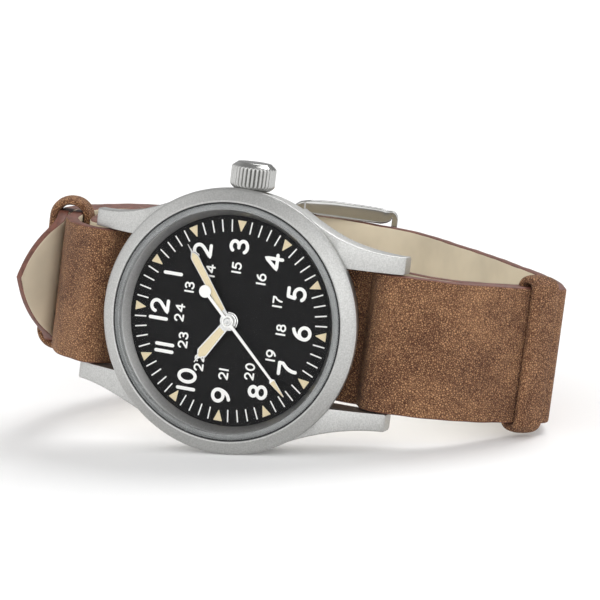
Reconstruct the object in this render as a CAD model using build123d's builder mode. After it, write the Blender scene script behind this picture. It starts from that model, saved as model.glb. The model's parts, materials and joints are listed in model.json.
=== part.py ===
from build123d import *
import math
import os

# Field watch on a two-layer leather strap, lying as it rests on a table: on
# its bezel at 9 o'clock, the strap's fixed keeper and the buckle.
# HEAD is the watch's own plane: x towards 6 o'clock, y from the dial into the
# loop of the strap, z towards the crown. DIAL faces the reader: x towards
# 3 o'clock, y towards 12 o'clock, z out of the dial, which is at height zero.

os.makedirs("parts", exist_ok=True)

# Clearances, and one overrun for every cut
fit_gap = 0.05
running_gap = 0.03
layer_gap = 0.08
overrun = 1.0

# Case, from the dial's face outwards and inwards
case_radius = 18.7
case_top = -0.1
case_flank_low = -3.6
case_underside = -6.3
case_underside_radius = 17.1
case_bore = 16.0
case_waist_radius = 18.0
collar_wall = 0.3
collar_height = 0.95
bezel_radius = 19.0
bezel_bore = 17.0
bezel_top = 2.05
bezel_bevel = 0.05
bezel_lip = 0.2
bezel_edge_top = 0.7
bezel_edge_bevel = 0.3
crystal_base = 1.35
crystal_edge_top = 2.1
crystal_top = 2.45
gasket_wall = 0.3
gasket_top = 1.95
rehaut_bore = 15.7
rehaut_top_bore = 16.3
dial_radius = 15.9
dial_thickness = 0.4
dial_hole = 0.95
dial_foot_radius = 0.35
dial_foot_distance = 11.6
dial_foot_length = 0.8
dial_foot_bearing = 60.0

# Lugs and the spring bars between them
lug_gap = 20.0
lug_reach = 23.45
lug_tip_width = 2.4
lug_shoulder_reach = 15.3
lug_shoulder_width = 4.3
lug_root_reach = 9.4
lug_top_start = 14.6
lug_tip_top = 3.9
lug_tip_low = 6.6
lug_bow = 0.35
bar_distance = 21.5
bar_depth = 5.7
bar_radius = 0.75
bar_tip_radius = 0.4
bar_tip_length = 1.2

# Case back
back_low = -7.0
back_floor = -5.9
back_radius = 17.0
back_spigot_top = -5.3
back_spigot_wall = 1.05
back_groove_depth = 0.65
back_groove_height = 0.4
back_groove_low = -6.25
back_notches = 6
back_notch_width = 2.4
back_notch_length = 1.3
back_notch_depth = 0.35

# Crown, tube and stem
crown_height = -2.3
crown_radius = 3.2
crown_start = 19.15
crown_end = 22.7
crown_face_radius = 2.6
crown_bevel = 0.35
crown_flutes = 26
crown_flute_radius = 0.24
crown_recess_radius = 1.95
crown_recess_end = 21.3
tube_radius = 1.35
tube_bore = 0.8
tube_start = 16.05
tube_end = 20.7
crown_gasket_start = 19.3
crown_gasket_length = 0.6
stem_radius = 0.45
stem_start = 4.6
stem_end = 21.9
stem_hole = 0.65
stem_groove_start = 8.8
stem_groove_length = 0.3
stem_groove_radius = 0.26

# Hands, with the time that they show in degrees from 12 o'clock
hand_thickness = 0.15
hour_height = 0.35
minute_height = 0.65
seconds_height = 0.95
hour_reach = 8.15
hour_hub = 1.08
hour_neck = 0.9
hour_width = 1.5
hour_shoulder = 6.9
minute_reach = 12.4
minute_hub = 0.8
minute_neck = 0.6
minute_width = 1.15
minute_shoulder = 11.3
needle_width = 0.16
seconds_reach = 13.2
seconds_width = 0.2
seconds_hub = 0.5
seconds_arrow = 2.7
seconds_arrow_width = 0.9
seconds_tail = 5.1
seconds_disc = 0.92
hour_angle = 304.0
minute_angle = 53.3
seconds_angle = 223.8

# Levels of the hand-wound movement
movement_radius = 12.8
plate_top = -0.4
plate_low = -1.6
bridge_top = -3.5
bridge_low = -4.1
pocket_floor = -3.62
bridge_radius = 12.5
ring_bore = 12.85
ring_lip_bore = 14.9
ring_low = -5.25
arbor_radius = 0.18
pivot_radius = 0.12
pivot_length = 0.25
jewel_radius = 0.45
jewel_bore = 0.15
jewel_height = 0.3
screw_radius = 0.3
screw_head_radius = 0.7
screw_head_height = 0.25
screw_slot = 0.16

# Going train: teeth of each pair, wheel first, with its module
tip_share = 0.7
root_share = 1.2
tooth_tip_shares = (-0.08, 0.08)
barrel_teeth = 60
centre_pinion_teeth = 10
barrel_module = 0.19
centre_teeth = 60
third_pinion_teeth = 8
centre_module = 0.11
third_teeth = 56
fourth_pinion_teeth = 7
fourth_teeth = 54
escape_pinion_teeth = 6
fourth_module = 0.13
cannon_teeth = 8
minute_wheel_teeth = 24
cannon_module = 0.16
minute_pinion_teeth = 8
hour_teeth = 32
barrel_distance = barrel_module * (barrel_teeth + centre_pinion_teeth) / 2
third_distance = centre_module * (centre_teeth + third_pinion_teeth) / 2
third_module = 2 * third_distance / (third_teeth + fourth_pinion_teeth)
escape_distance = fourth_module * (fourth_teeth + escape_pinion_teeth) / 2
motion_distance = cannon_module * (cannon_teeth + minute_wheel_teeth) / 2
hour_module = 2 * motion_distance / (minute_pinion_teeth + hour_teeth)

# Bearings of the arbors about the centre, in degrees from 3 o'clock
barrel_bearing = 79.6
third_bearing = 226.0
escape_bearing = -75.0
motion_bearing = 150.0

# Levels of the train, from the plate towards the case back
barrel_top = -1.7
barrel_teeth_height = 0.25
drum_radius = 5.3
drum_wall = 0.3
drum_low = -2.65
barrel_cover_height = 0.12
barrel_arbor_radius = 0.55
barrel_core_radius = 1.2
mainspring_turns = 5
mainspring_blade = 0.16
mainspring_height = 0.42
spiral_step = 30
centre_pinion_top = -1.65
centre_pinion_height = 0.4
centre_wheel_top = -2.85
wheel_height = 0.12
centre_arbor_radius = 0.3
centre_arbor_bore = 0.17
third_pinion_top = -2.8
third_pinion_height = 0.22
third_wheel_top = -3.07
fourth_pinion_top = -3.02
fourth_pinion_height = 0.2
fourth_wheel_top = -3.26
fourth_arbor_radius = 0.12
escape_pinion_top = -3.21
escape_pinion_height = 0.22
escape_wheel_top = -2.3
escape_teeth = 20
escape_radius = 2.1
escape_root_radius = 1.65
escape_tip_shares = (0.3,)

# Motion work under the dial
motion_floor = -1.3
cannon_top = -0.85
cannon_low = -1.2
cannon_tube_radius = 0.48
cannon_bore = 0.33
minute_wheel_top = -1.0
minute_wheel_height = 0.15
minute_pinion_top = -0.6
hour_wheel_top = -0.62
hour_wheel_height = 0.18
hour_tube_radius = 0.85
hour_tube_bore = 0.53
pocket_gap = 0.2
motion_post_radius = 0.2

# Winding work
ratchet_teeth = 36
crown_wheel_teeth = 24
winding_teeth = 12
crown_wheel_distance = 5.2
winding_wheel_top = -3.64
winding_wheel_height = 0.3
ratchet_screw_radius = 1.0
crown_wheel_boss = 0.95
winding_pinion_start = 7.75
winding_pinion_length = 0.9
winding_pinion_radius = 1.3
winding_pinion_root = 1.0
sliding_start = 4.7
sliding_length = 1.4
sliding_radius = 0.9
sliding_groove_start = 5.2
sliding_groove_length = 0.4
sliding_groove_radius = 0.62
keyless_width = 3.0
keyless_start = 4.25
keyless_end = 8.85
keyless_top = -0.85
pillow_start = 10.4
pillow_length = 2.1
pillow_width = 2.4
pillow_low = -3.3
click_bearing = 150.0
click_radius = 0.6
click_nose = 0.3
click_lift = 0.05
post_radius = 0.25
lever_pivot_x = 9.45
lever_pivot_y = -3.5
lever_pin_x = 8.95
lever_pin_y = -0.44
lever_pin_radius = 0.12
lever_pin_top = -2.05
lever_top = -2.85
lever_height = 0.25
lever_radius = 0.4
lever_tip_radius = 0.2
yoke_pivot_x = 7.2
yoke_pivot_y = -3.6
yoke_bend_y = -1.7
yoke_radius = 0.4
yoke_tip_radius = 0.25
yoke_finger = 0.28
yoke_top = -2.15
yoke_height = 0.3

# Balance and pallets
balance_x = 4.6
balance_y = -7.6
balance_radius = 3.7
balance_rim = 0.45
balance_arm = 0.6
balance_hub = 0.8
balance_top = -3.0
balance_height = 0.24
roller_radius = 0.95
roller_top = -2.7
roller_height = 0.12
impulse_distance = 0.7
impulse_radius = 0.12
impulse_top = -2.34
hairspring_top = -3.3
hairspring_height = 0.1
hairspring_blade = 0.09
hairspring_radius = 2.1
hairspring_start = 0.55
hairspring_turns = 5
cock_top = -3.6
cock_head_radius = 1.25
cock_foot_x = -0.8
cock_foot_y = -10.7
cock_foot_radius = 1.5
pallet_line_share = 0.523
pallet_top = -2.3
pallet_height = 0.13
pallet_bar = 0.36
pallet_stone_distance = 2.42
pallet_stone_bearing = 26.0
pallet_stone = 0.26
pallet_fork_reach = 1.35
pallet_cock_top = -2.65
pallet_cock_height = 0.2
pallet_cock_reach = 2.4
pallet_cock_radius = 0.55
pallet_screw_head = 0.38

# Bridges: outline points, feet and the clamps over their rim
bridge_split_y = 1.25
bridge_split_gap = 0.2
bridge_cut_x = 1.4
bridge_cut_y = -1.25
bridge_corner_x = 2.5
bridge_corner_y = -3.05
bridge_edge_x = 4.6
bridge_edge_y = -3.9
train_edge_x = 1.6
train_edge_y = -5.0
train_corner_x = -6.0
train_corner_y = -7.5
train_rim_y = -3.0
bridge_foot_x = 9.6
bridge_foot_y = 6.1
bridge_foot_radius = 1.3
train_foot_x = -8.3
clamp_bearings = (50.0, 130.0)
clamp_start = 11.6
clamp_length = 2.3
clamp_radius = 0.9
clamp_height = 0.25

# Strap: the long layer runs from its tip round the outside, through the bars
# and under the case to the buckle. Its route and the inner layer's route are
# shares of how far the loop stands behind the dial.
strap_width = 19.7
strap_thickness = 1.8
under_thickness = 1.5
loop_depth = 68.0
tail_gap = 0.16
tail_tip_shares = (-0.543, 0.082)
tail_high_shares = (-0.482, 0.572)
crest_left_shares = (-0.194, 0.994)
crest_right_shares = (-0.06, 1.0)
shoulder_shares = (0.119, 0.959)
right_high_shares = (0.359, 0.713)
right_mid_shares = (0.584, 0.434)
right_bend_shares = (0.632, 0.2985)
right_low_shares = (0.518, 0.168)
left_near_shares = (-0.396, 0.0706)
left_low_shares = (-0.4456, 0.1618)
left_mid_shares = (-0.4882, 0.3368)
left_high_shares = (-0.4544, 0.5618)
inner_left_mid_shares = (-0.4397, 0.3456)
inner_left_low_shares = (-0.4015, 0.1912)
inner_left_near_share = -0.381
tail_low_slip = 2.2
tail_mid_slip = 0.6
bar_entry_heading = 197.0
bar_exit_heading = 116.6
bar_leaf_length = 9.8
far_wrap_length = 6.9
tight_bend = 1.5
tail_low_bend = 4.0
tail_mid_bend = 14.0
far_bar_bend = 1.8
near_bend = 7.0
low_bend = 15.0
mid_bend = 12.0
long_bend = 40.0
back_bend = 30.0
crest_bend = 12.0
keeper_bend = 2.0
inner_mid_bend = 20.0
inner_low_bend = 3.0
inner_near_bend = 1.2
inner_end_back = 3.1
inner_end_gap = 0.1
tail_point_length = 6.6
tail_point_bulge = 1.2
punch_radius = 0.9
punch_first = 32.0
punch_pitch = 7.0
punch_count = 7

# Keepers: bands of leather round the strap
keeper_leather = 1.3
keeper_side_gap = 0.15
keeper_end_gap = 0.45
keeper_corner = 2.0
keeper_inner_corner = 0.6
keeper_length = 3.8
keeper_from_bend = 2.1
free_keeper_length = 5.0
free_keeper_at = 6.5

# Buckle
pin_bar_x = -11.5
pin_bar_y = 64.3
pin_bar_socket = 1.5
outer_bar_x = 4.75
outer_bar_y = 67.97
outer_bar_radius = 0.9
strap_eye_radius = 2.25
strap_eye_slot = 3.2
buckle_inner_width = 21.0
buckle_arm_width = 2.3
buckle_arm_radius = 1.35
buckle_heel_radius = 1.6
buckle_edge = 0.3
tongue_width = 2.2
tongue_thickness = 1.1
tongue_eye_radius = 1.7
tongue_overhang = 1.5
tongue_travel = 4.0
tongue_slot_width = 2.9
tongue_slot_gap = 0.2

# Where the dial's centre stands in the outline seen from above
head_across = -3.233
head_forward = -33.418
first_up_shares = (-0.12, -0.12, 0.98)

wrap_radius = bar_radius + fit_gap + strap_thickness / 2
layer_distance = (strap_thickness + under_thickness) / 2 + layer_gap
keeper_drop = strap_width / 2 + keeper_end_gap + keeper_leather
keeper_flat = strap_thickness / 2 + keeper_side_gap + keeper_leather - keeper_corner
buckle_drop = buckle_inner_width / 2 + buckle_arm_width


def from_shares(shares):
    """A place of the strap's route, in the head's x and y."""
    return Vector(loop_depth * shares[0], loop_depth * shares[1])


def heading(degrees):
    """A unit vector in the head's x and y."""
    return Vector(math.cos(math.radians(degrees)), math.sin(math.radians(degrees)))


def left_of(direction):
    """The direction a quarter turn anticlockwise."""
    return Vector(-direction.Y, direction.X)


def corner(before, place, after, distance):
    """Where two runs that meet at a place meet again once moved to their left."""
    one = left_of((place - before).normalized())
    two = left_of((after - place).normalized())
    return place + (one + two) * (distance / (1 + one.dot(two)))


right_bend = from_shares(right_bend_shares)
right_low = from_shares(right_low_shares)
keeper_run = (right_bend - right_low).normalized()
pin_bar = Vector(pin_bar_x, pin_bar_y)
outer_bar = Vector(outer_bar_x, outer_bar_y)


def stance():
    """The way up from the table, and the place where the bezel touches it, in HEAD."""
    up = Vector(*first_up_shares).normalized()
    side = right_bend - keeper_run * keeper_from_bend - left_of(keeper_run) * keeper_flat
    keeper = Vector(side.X, side.Y, -keeper_drop)
    for _ in range(12):
        flat = math.hypot(up.X, up.Z)
        flank = Vector(-bezel_radius * up.X / flat, -case_top, -bezel_radius * up.Z / flat)
        low_side = outer_bar - Vector(up.X, up.Y).normalized() * (buckle_arm_radius - buckle_edge)
        buckle = Vector(low_side.X, low_side.Y, -buckle_drop)
        up = (keeper - flank).cross(buckle - flank).normalized()
    return up, flank


up, flank = stance()
ahead = (Vector(1, 0, 0) - up * up.X).normalized()
away = up.cross(ahead)
HEAD = Plane(
    origin=(head_across, head_forward, -flank.dot(up)),
    x_dir=(ahead.X, away.X, up.X),
    z_dir=(ahead.Z, away.Z, up.Z),
)
DIAL = Plane(origin=HEAD.origin, x_dir=HEAD.z_dir, z_dir=-HEAD.y_dir)
# STEM looks along the winding stem from the centre: x out of the dial
STEM = Plane(origin=DIAL.from_local_coords((0, 0, crown_height)), x_dir=DIAL.z_dir, z_dir=DIAL.x_dir)


def bearing(distance, degrees, start=(0, 0)):
    """A place at a distance from another, in degrees from 3 o'clock."""
    turn = math.radians(degrees)
    return (start[0] + distance * math.cos(turn), start[1] + distance * math.sin(turn))


def towards(start, end):
    """Degrees of the line from one place to another."""
    return math.degrees(math.atan2(end[1] - start[1], end[0] - start[0]))


def at(place, height, degrees=0):
    """The dial's plane, moved to a place and a height and turned there."""
    turn = math.radians(degrees)
    x_dir = DIAL.x_dir * math.cos(turn) + DIAL.y_dir * math.sin(turn)
    return Plane(origin=DIAL.from_local_coords((*place, height)), x_dir=x_dir, z_dir=DIAL.z_dir)


def across(place, run):
    """A plane square to the strap's run: x across the strap."""
    along = HEAD.x_dir * run.X + HEAD.y_dir * run.Y
    return Plane(origin=HEAD.from_local_coords((place.X, place.Y, 0)), x_dir=HEAD.z_dir, z_dir=along)


def saw(count, root, tip, degrees, tip_shares, gap=False):
    """A toothed face: per tooth one root point and one or two tip points."""
    pitch = 360 / count
    first = degrees + (pitch / 2 if gap else 0)
    points = []
    for index in range(count):
        points.append(bearing(root, first + (index - 1 / 2) * pitch))
        points.extend(bearing(tip, first + (index + share) * pitch) for share in tip_shares)
    return Polygon(*points, align=None)


def teeth(count, module, degrees, gap=False):
    """A gear's face, with a tooth, or a gap, at the given bearing."""
    root = module * (count / 2 - root_share)
    tip = module * (count / 2 + tip_share)
    return saw(count, root, tip, degrees, tooth_tip_shares, gap)


def link(start, end, start_radius, end_radius):
    """A bar's plan: round ends joined by straight sides."""
    side = towards(start, end) + 90
    Polygon(
        bearing(-start_radius, side, start),
        bearing(-end_radius, side, end),
        bearing(end_radius, side, end),
        bearing(start_radius, side, start),
        align=None,
    )
    with Locations(start):
        Circle(start_radius)
    with Locations(end):
        Circle(end_radius)


def turned(plane, *outline, mode=Mode.ADD):
    """Turn an outline of radii and heights about a plane's own upright."""
    with BuildSketch(Plane(origin=plane.origin, x_dir=plane.x_dir, z_dir=-plane.y_dir)) as face:
        Polygon(*outline, align=None)
    revolve(face.sketch, axis=Axis(plane.origin, plane.z_dir), mode=mode)


def rod(place, radius, top, low, bore=0, mode=Mode.ADD):
    """A turned step of the dial's planes, from one height down to another."""
    turned(at(place, 0), (bore, top), (radius, top), (radius, low), (bore, low), mode=mode)


def stem_rod(radius, start, end, bore=0, mode=Mode.ADD):
    """A turned step along the winding stem."""
    turned(STEM, (bore, start), (radius, start), (radius, end), (bore, end), mode=mode)


def cross_rod(place, radius, half, mode=Mode.ADD):
    """A round bar across the strap, as long on both sides."""
    with BuildSketch(HEAD.offset(-half)) as face:
        with Locations((place.X, place.Y)):
            Circle(radius)
    extrude(face.sketch, amount=2 * half, mode=mode)


def save(builder, name):
    """Label a finished piece and write it."""
    builder.part.label = name
    export_step(builder.part, "parts/" + name + ".step")


centre = (0, 0)
barrel = bearing(barrel_distance, barrel_bearing)
third = bearing(third_distance, third_bearing)
escape = bearing(escape_distance, escape_bearing)
motion = bearing(motion_distance, motion_bearing)
balance = (balance_x, balance_y)
pallet = tuple(e + (b - e) * pallet_line_share for e, b in zip(escape, balance))
crown_wheel = (crown_wheel_distance, 0)
winding_module = 2 * math.dist(crown_wheel, barrel) / (ratchet_teeth + crown_wheel_teeth)
ratchet_tip = winding_module * (ratchet_teeth / 2 + tip_share)
crown_wheel_tip = winding_module * (crown_wheel_teeth / 2 + tip_share)
click_place = bearing(ratchet_tip + click_radius + 2 * fit_gap, click_bearing, barrel)
lever_pivot = (lever_pivot_x, lever_pivot_y)
lever_pin = (lever_pin_x, lever_pin_y)
yoke_pivot = (yoke_pivot_x, yoke_pivot_y)
cock_foot = (cock_foot_x, cock_foot_y)
foot_right = (bridge_foot_x, bridge_foot_y)
foot_left = (-bridge_foot_x, bridge_foot_y)
foot_train = (train_foot_x - screw_head_radius - fit_gap, -screw_head_radius - fit_gap)
line_bearing = towards(escape, balance)
pallet_feet = [bearing(side * pallet_cock_reach, line_bearing + 90, pallet) for side in (-1, 1)]
clamp_screws = [bearing(clamp_start, degrees) for degrees in clamp_bearings]
screw_places = [foot_left, foot_right, foot_train, cock_foot]
dial_feet = [bearing(side * dial_foot_distance, dial_foot_bearing) for side in (-1, 1)]
train_jewels = [third, escape, centre]
plate_jewels = [third, escape, pallet, balance]
collar_radius = bezel_bore - fit_gap
crystal_radius = collar_radius - collar_wall - fit_gap

# Middle case: four lugs cut to their profile and plan, then the turned ring
lug_inner = lug_gap / 2
lug_outer = lug_inner + lug_tip_width
lug_root_width = math.sqrt(case_radius**2 - lug_root_reach**2)
with BuildPart() as mid_case:
    with BuildSketch(HEAD.offset(-case_radius)):
        with BuildLine():
            Line((lug_root_reach, -case_top), (lug_top_start, -case_top))
            ThreePointArc(
                (lug_top_start, -case_top),
                ((lug_top_start + lug_reach + lug_bow) / 2, (lug_tip_top - case_top) / 2 - lug_bow),
                (lug_reach, lug_tip_top),
            )
            Polyline(
                (lug_reach, lug_tip_top),
                (lug_reach, lug_tip_low),
                (case_underside_radius, -case_underside),
                (lug_root_reach, -case_underside),
                (lug_root_reach, -case_top),
            )
        make_face()
        mirror(about=Plane.YZ)
    extrude(amount=2 * case_radius)
    with BuildSketch(DIAL.offset(overrun)):
        with BuildLine():
            Polyline((lug_inner, -lug_root_reach), (lug_inner, -lug_reach), (lug_outer, -lug_reach))
            edge = Line((lug_outer, -lug_reach), (lug_inner + lug_shoulder_width, -lug_shoulder_reach))
            TangentArc(edge @ 1, (lug_root_width, -lug_root_reach), tangent=edge % 1)
            Line((lug_root_width, -lug_root_reach), (lug_inner, -lug_root_reach))
        make_face()
        mirror(about=Plane.XZ)
        mirror(about=Plane.YZ)
    extrude(amount=case_underside - 2 * overrun, mode=Mode.INTERSECT)
    turned(
        DIAL,
        (case_bore, case_underside),
        (case_underside_radius, case_underside),
        (case_radius, case_flank_low),
        (case_radius, case_top),
        (collar_radius, case_top),
        (collar_radius, collar_height),
        (collar_radius - collar_wall, collar_height),
        (collar_radius - collar_wall, case_top),
        (case_bore, case_top),
    )
    # between the lugs the ring is drawn in to clear the strap
    with BuildSketch(DIAL.offset(case_top)):
        Rectangle(lug_gap, 2 * (case_radius + overrun))
        Circle(case_waist_radius, mode=Mode.SUBTRACT)
    extrude(amount=case_underside - overrun, mode=Mode.SUBTRACT)
    rod(centre, case_bore, collar_height, case_underside - overrun, mode=Mode.SUBTRACT)
    for distance in (bar_distance, -bar_distance):
        tip_socket = lug_inner + bar_tip_length + fit_gap
        cross_rod(Vector(distance, bar_depth), bar_tip_radius + fit_gap, tip_socket, mode=Mode.SUBTRACT)
    stem_rod(tube_radius + fit_gap, case_bore - overrun, bezel_radius + overrun, mode=Mode.SUBTRACT)
save(mid_case, "mid_case")

# Bezel, fixed crystal and the rings under them
with BuildPart() as bezel:
    turned(
        DIAL,
        (bezel_bore, case_top),
        (bezel_radius, case_top),
        (bezel_radius, bezel_edge_top),
        (bezel_radius - bezel_edge_bevel, bezel_edge_top + bezel_edge_bevel),
        (bezel_bore + bezel_lip, bezel_top),
        (bezel_bore, bezel_top - bezel_bevel),
    )
save(bezel, "bezel")

dome_height = crystal_top - crystal_edge_top
dome_radius = (crystal_radius**2 + dome_height**2) / (2 * dome_height)
dome_drop = dome_radius - math.sqrt(dome_radius**2 - (crystal_radius / 2) ** 2)
with BuildPart() as crystal:
    with BuildSketch(Plane(origin=DIAL.origin, x_dir=DIAL.x_dir, z_dir=-DIAL.y_dir)):
        with BuildLine():
            Polyline((0, crystal_top), (0, crystal_base), (crystal_radius, crystal_base))
            Line((crystal_radius, crystal_base), (crystal_radius, crystal_edge_top))
            ThreePointArc(
                (crystal_radius, crystal_edge_top),
                (crystal_radius / 2, crystal_top - dome_drop),
                (0, crystal_top),
            )
        make_face()
    revolve(axis=Axis(DIAL.origin, DIAL.z_dir))
save(crystal, "crystal")

with BuildPart() as crystal_gasket:
    rod(centre, collar_radius, gasket_top, collar_height + fit_gap, collar_radius - gasket_wall)
save(crystal_gasket, "crystal_gasket")

with BuildPart() as rehaut_ring:
    turned(
        DIAL,
        (rehaut_bore, 0),
        (crystal_radius, 0),
        (crystal_radius, crystal_base),
        (rehaut_top_bore, crystal_base),
    )
save(rehaut_ring, "rehaut_ring")

with BuildPart() as dial:
    rod(centre, dial_radius, 0, -dial_thickness, dial_hole)
    for foot in dial_feet:
        rod(foot, dial_foot_radius, -dial_thickness, -dial_thickness - dial_foot_length)
save(dial, "dial")


def baton(reach, neck, width, shoulder, hub):
    """A hand that widens from its hub to its shoulder and ends in a needle."""
    needle = shoulder + (reach - shoulder) / 3
    Polygon(
        (0, -neck / 2),
        (shoulder, -width / 2),
        (needle, -needle_width / 2),
        (reach, -needle_width / 4),
        (reach, needle_width / 4),
        (needle, needle_width / 2),
        (shoulder, width / 2),
        (0, neck / 2),
        align=None,
    )
    Circle(hub)


with BuildPart() as hour_hand:
    with BuildSketch(at(centre, hour_height, 90 - hour_angle)):
        baton(hour_reach, hour_neck, hour_width, hour_shoulder, hour_hub)
        Circle(hour_tube_radius + running_gap, mode=Mode.SUBTRACT)
    extrude(amount=hand_thickness)
save(hour_hand, "hour_hand")

with BuildPart() as minute_hand:
    with BuildSketch(at(centre, minute_height, 90 - minute_angle)):
        baton(minute_reach, minute_neck, minute_width, minute_shoulder, minute_hub)
        Circle(cannon_tube_radius + running_gap, mode=Mode.SUBTRACT)
    extrude(amount=hand_thickness)
save(minute_hand, "minute_hand")

with BuildPart() as seconds_hand:
    with BuildSketch(at(centre, seconds_height, 90 - seconds_angle)):
        with Locations((-seconds_tail, 0)):
            Circle(seconds_disc)
        with Locations(((seconds_reach - seconds_tail) / 2, 0)):
            Rectangle(seconds_reach + seconds_tail, seconds_width)
        Polygon(
            (seconds_reach - seconds_arrow, -seconds_arrow_width / 2),
            (seconds_reach, -needle_width / 2),
            (seconds_reach, needle_width / 2),
            (seconds_reach - seconds_arrow, seconds_arrow_width / 2),
            align=None,
        )
        Circle(seconds_hub)
        Circle(fourth_arbor_radius + running_gap / 3, mode=Mode.SUBTRACT)
    extrude(amount=hand_thickness)
save(seconds_hand, "seconds_hand")

# Screwed case back with its gasket, and notches for the case wrench
back_spigot_radius = case_bore - fit_gap
back_groove_radius = back_spigot_radius - back_groove_depth
back_groove_top = back_groove_low + back_groove_height
with BuildPart() as case_back:
    turned(
        DIAL,
        (0, back_floor),
        (back_spigot_radius - back_spigot_wall, back_floor),
        (back_spigot_radius - back_spigot_wall, back_spigot_top),
        (back_spigot_radius, back_spigot_top),
        (back_spigot_radius, back_groove_top),
        (back_groove_radius, back_groove_top),
        (back_groove_radius, back_groove_low),
        (back_spigot_radius, back_groove_low),
        (back_spigot_radius, case_underside),
        (back_radius, case_underside),
        (back_radius, back_low),
        (0, back_low),
    )
    with BuildSketch(DIAL.offset(back_low)):
        with PolarLocations(back_radius - back_notch_length / 2, back_notches):
            Rectangle(back_notch_length + back_notch_depth, back_notch_width)
    extrude(amount=back_notch_depth, mode=Mode.SUBTRACT)
save(case_back, "case_back")

with BuildPart() as case_back_gasket:
    gasket_bore = back_groove_radius + running_gap
    rod(centre, back_spigot_radius, back_groove_top - running_gap, back_groove_low + running_gap, gasket_bore)
save(case_back_gasket, "case_back_gasket")

# Spring bars, sprung between the lugs
with BuildPart() as spring_bars:
    for distance in (bar_distance, -bar_distance):
        cross_rod(Vector(distance, bar_depth), bar_radius, lug_inner - fit_gap)
        cross_rod(Vector(distance, bar_depth), bar_tip_radius, lug_inner + bar_tip_length)
save(spring_bars, "spring_bars")

# Fluted winding crown, with its gasket on the tube of the case, and the stem
with BuildPart() as crown:
    turned(
        STEM,
        (crown_recess_radius, crown_start),
        (crown_radius, crown_start),
        (crown_radius, crown_end - crown_bevel),
        (crown_face_radius, crown_end),
        (0, crown_end),
        (0, stem_end + fit_gap),
        (stem_radius + fit_gap, stem_end + fit_gap),
        (stem_radius + fit_gap, crown_recess_end),
        (crown_recess_radius, crown_recess_end),
    )
    with BuildSketch(STEM.offset(crown_start)):
        with PolarLocations(crown_radius + crown_flute_radius / 3, crown_flutes):
            RegularPolygon(crown_flute_radius, 4)
    extrude(amount=crown_end - crown_start, mode=Mode.SUBTRACT)
save(crown, "crown")

with BuildPart() as crown_gasket:
    gasket_end = crown_gasket_start + crown_gasket_length
    stem_rod(crown_recess_radius - running_gap, crown_gasket_start, gasket_end, tube_radius + fit_gap)
save(crown_gasket, "crown_gasket")

with BuildPart() as crown_tube:
    stem_rod(tube_radius, tube_start, tube_end, tube_bore)
save(crown_tube, "crown_tube")

with BuildPart() as winding_stem:
    groove_end = stem_groove_start + stem_groove_length
    stem_rod(stem_radius, stem_start, stem_groove_start)
    stem_rod(stem_groove_radius, stem_groove_start, groove_end)
    stem_rod(stem_radius, groove_end, stem_end)
save(winding_stem, "winding_stem")

# Ring that centres the movement in the case
ring_radius = case_bore - 3 * fit_gap
with BuildPart() as movement_ring:
    turned(
        DIAL,
        (ring_bore, plate_top),
        (ring_radius, plate_top),
        (ring_radius, ring_low),
        (ring_lip_bore, ring_low),
        (ring_lip_bore, bridge_low),
        (ring_bore, bridge_low),
    )
    stem_rod(stem_hole, ring_bore - overrun, case_bore + overrun, mode=Mode.SUBTRACT)
save(movement_ring, "movement_ring")

# Main plate: pockets for the motion work and the keyless work, posts, pillow
hour_wheel_tip = hour_module * (hour_teeth / 2 + tip_share)
minute_wheel_tip = cannon_module * (minute_wheel_teeth / 2 + tip_share)
with BuildPart() as main_plate:
    rod(centre, movement_radius, plate_top, plate_low)
    rod(centre, hour_wheel_tip + pocket_gap, plate_top, motion_floor, mode=Mode.SUBTRACT)
    rod(motion, minute_wheel_tip + pocket_gap, plate_top, motion_floor, mode=Mode.SUBTRACT)
    rod(motion, motion_post_radius, minute_pinion_top, motion_floor)
    with BuildSketch(at(((keyless_start + keyless_end) / 2, 0), keyless_top)):
        Rectangle(keyless_end - keyless_start, keyless_width)
    extrude(amount=plate_low - keyless_top, mode=Mode.SUBTRACT)
    with BuildSketch(at((pillow_start + pillow_length / 2, 0), plate_low)):
        Rectangle(pillow_length, pillow_width)
    extrude(amount=pillow_low - plate_low)
    stem_rod(stem_radius + running_gap, pillow_start - overrun, movement_radius + overrun, mode=Mode.SUBTRACT)
    rod(centre, centre_arbor_radius + running_gap, plate_top, plate_low, mode=Mode.SUBTRACT)
    rod(barrel, barrel_arbor_radius + fit_gap, plate_top, plate_low, mode=Mode.SUBTRACT)
    for foot in dial_feet:
        rod(foot, dial_foot_radius + fit_gap, plate_top, plate_low, mode=Mode.SUBTRACT)
    for place in plate_jewels:
        rod(place, jewel_radius, plate_low + jewel_height, plate_low, mode=Mode.SUBTRACT)
    for place in screw_places + pallet_feet:
        rod(place, screw_radius + running_gap, plate_top, plate_low, mode=Mode.SUBTRACT)
    rod(lever_pivot, post_radius, plate_low, lever_top - lever_height - fit_gap)
    rod(yoke_pivot, post_radius, plate_low, yoke_top - yoke_height - fit_gap)
save(main_plate, "main_plate")

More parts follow.
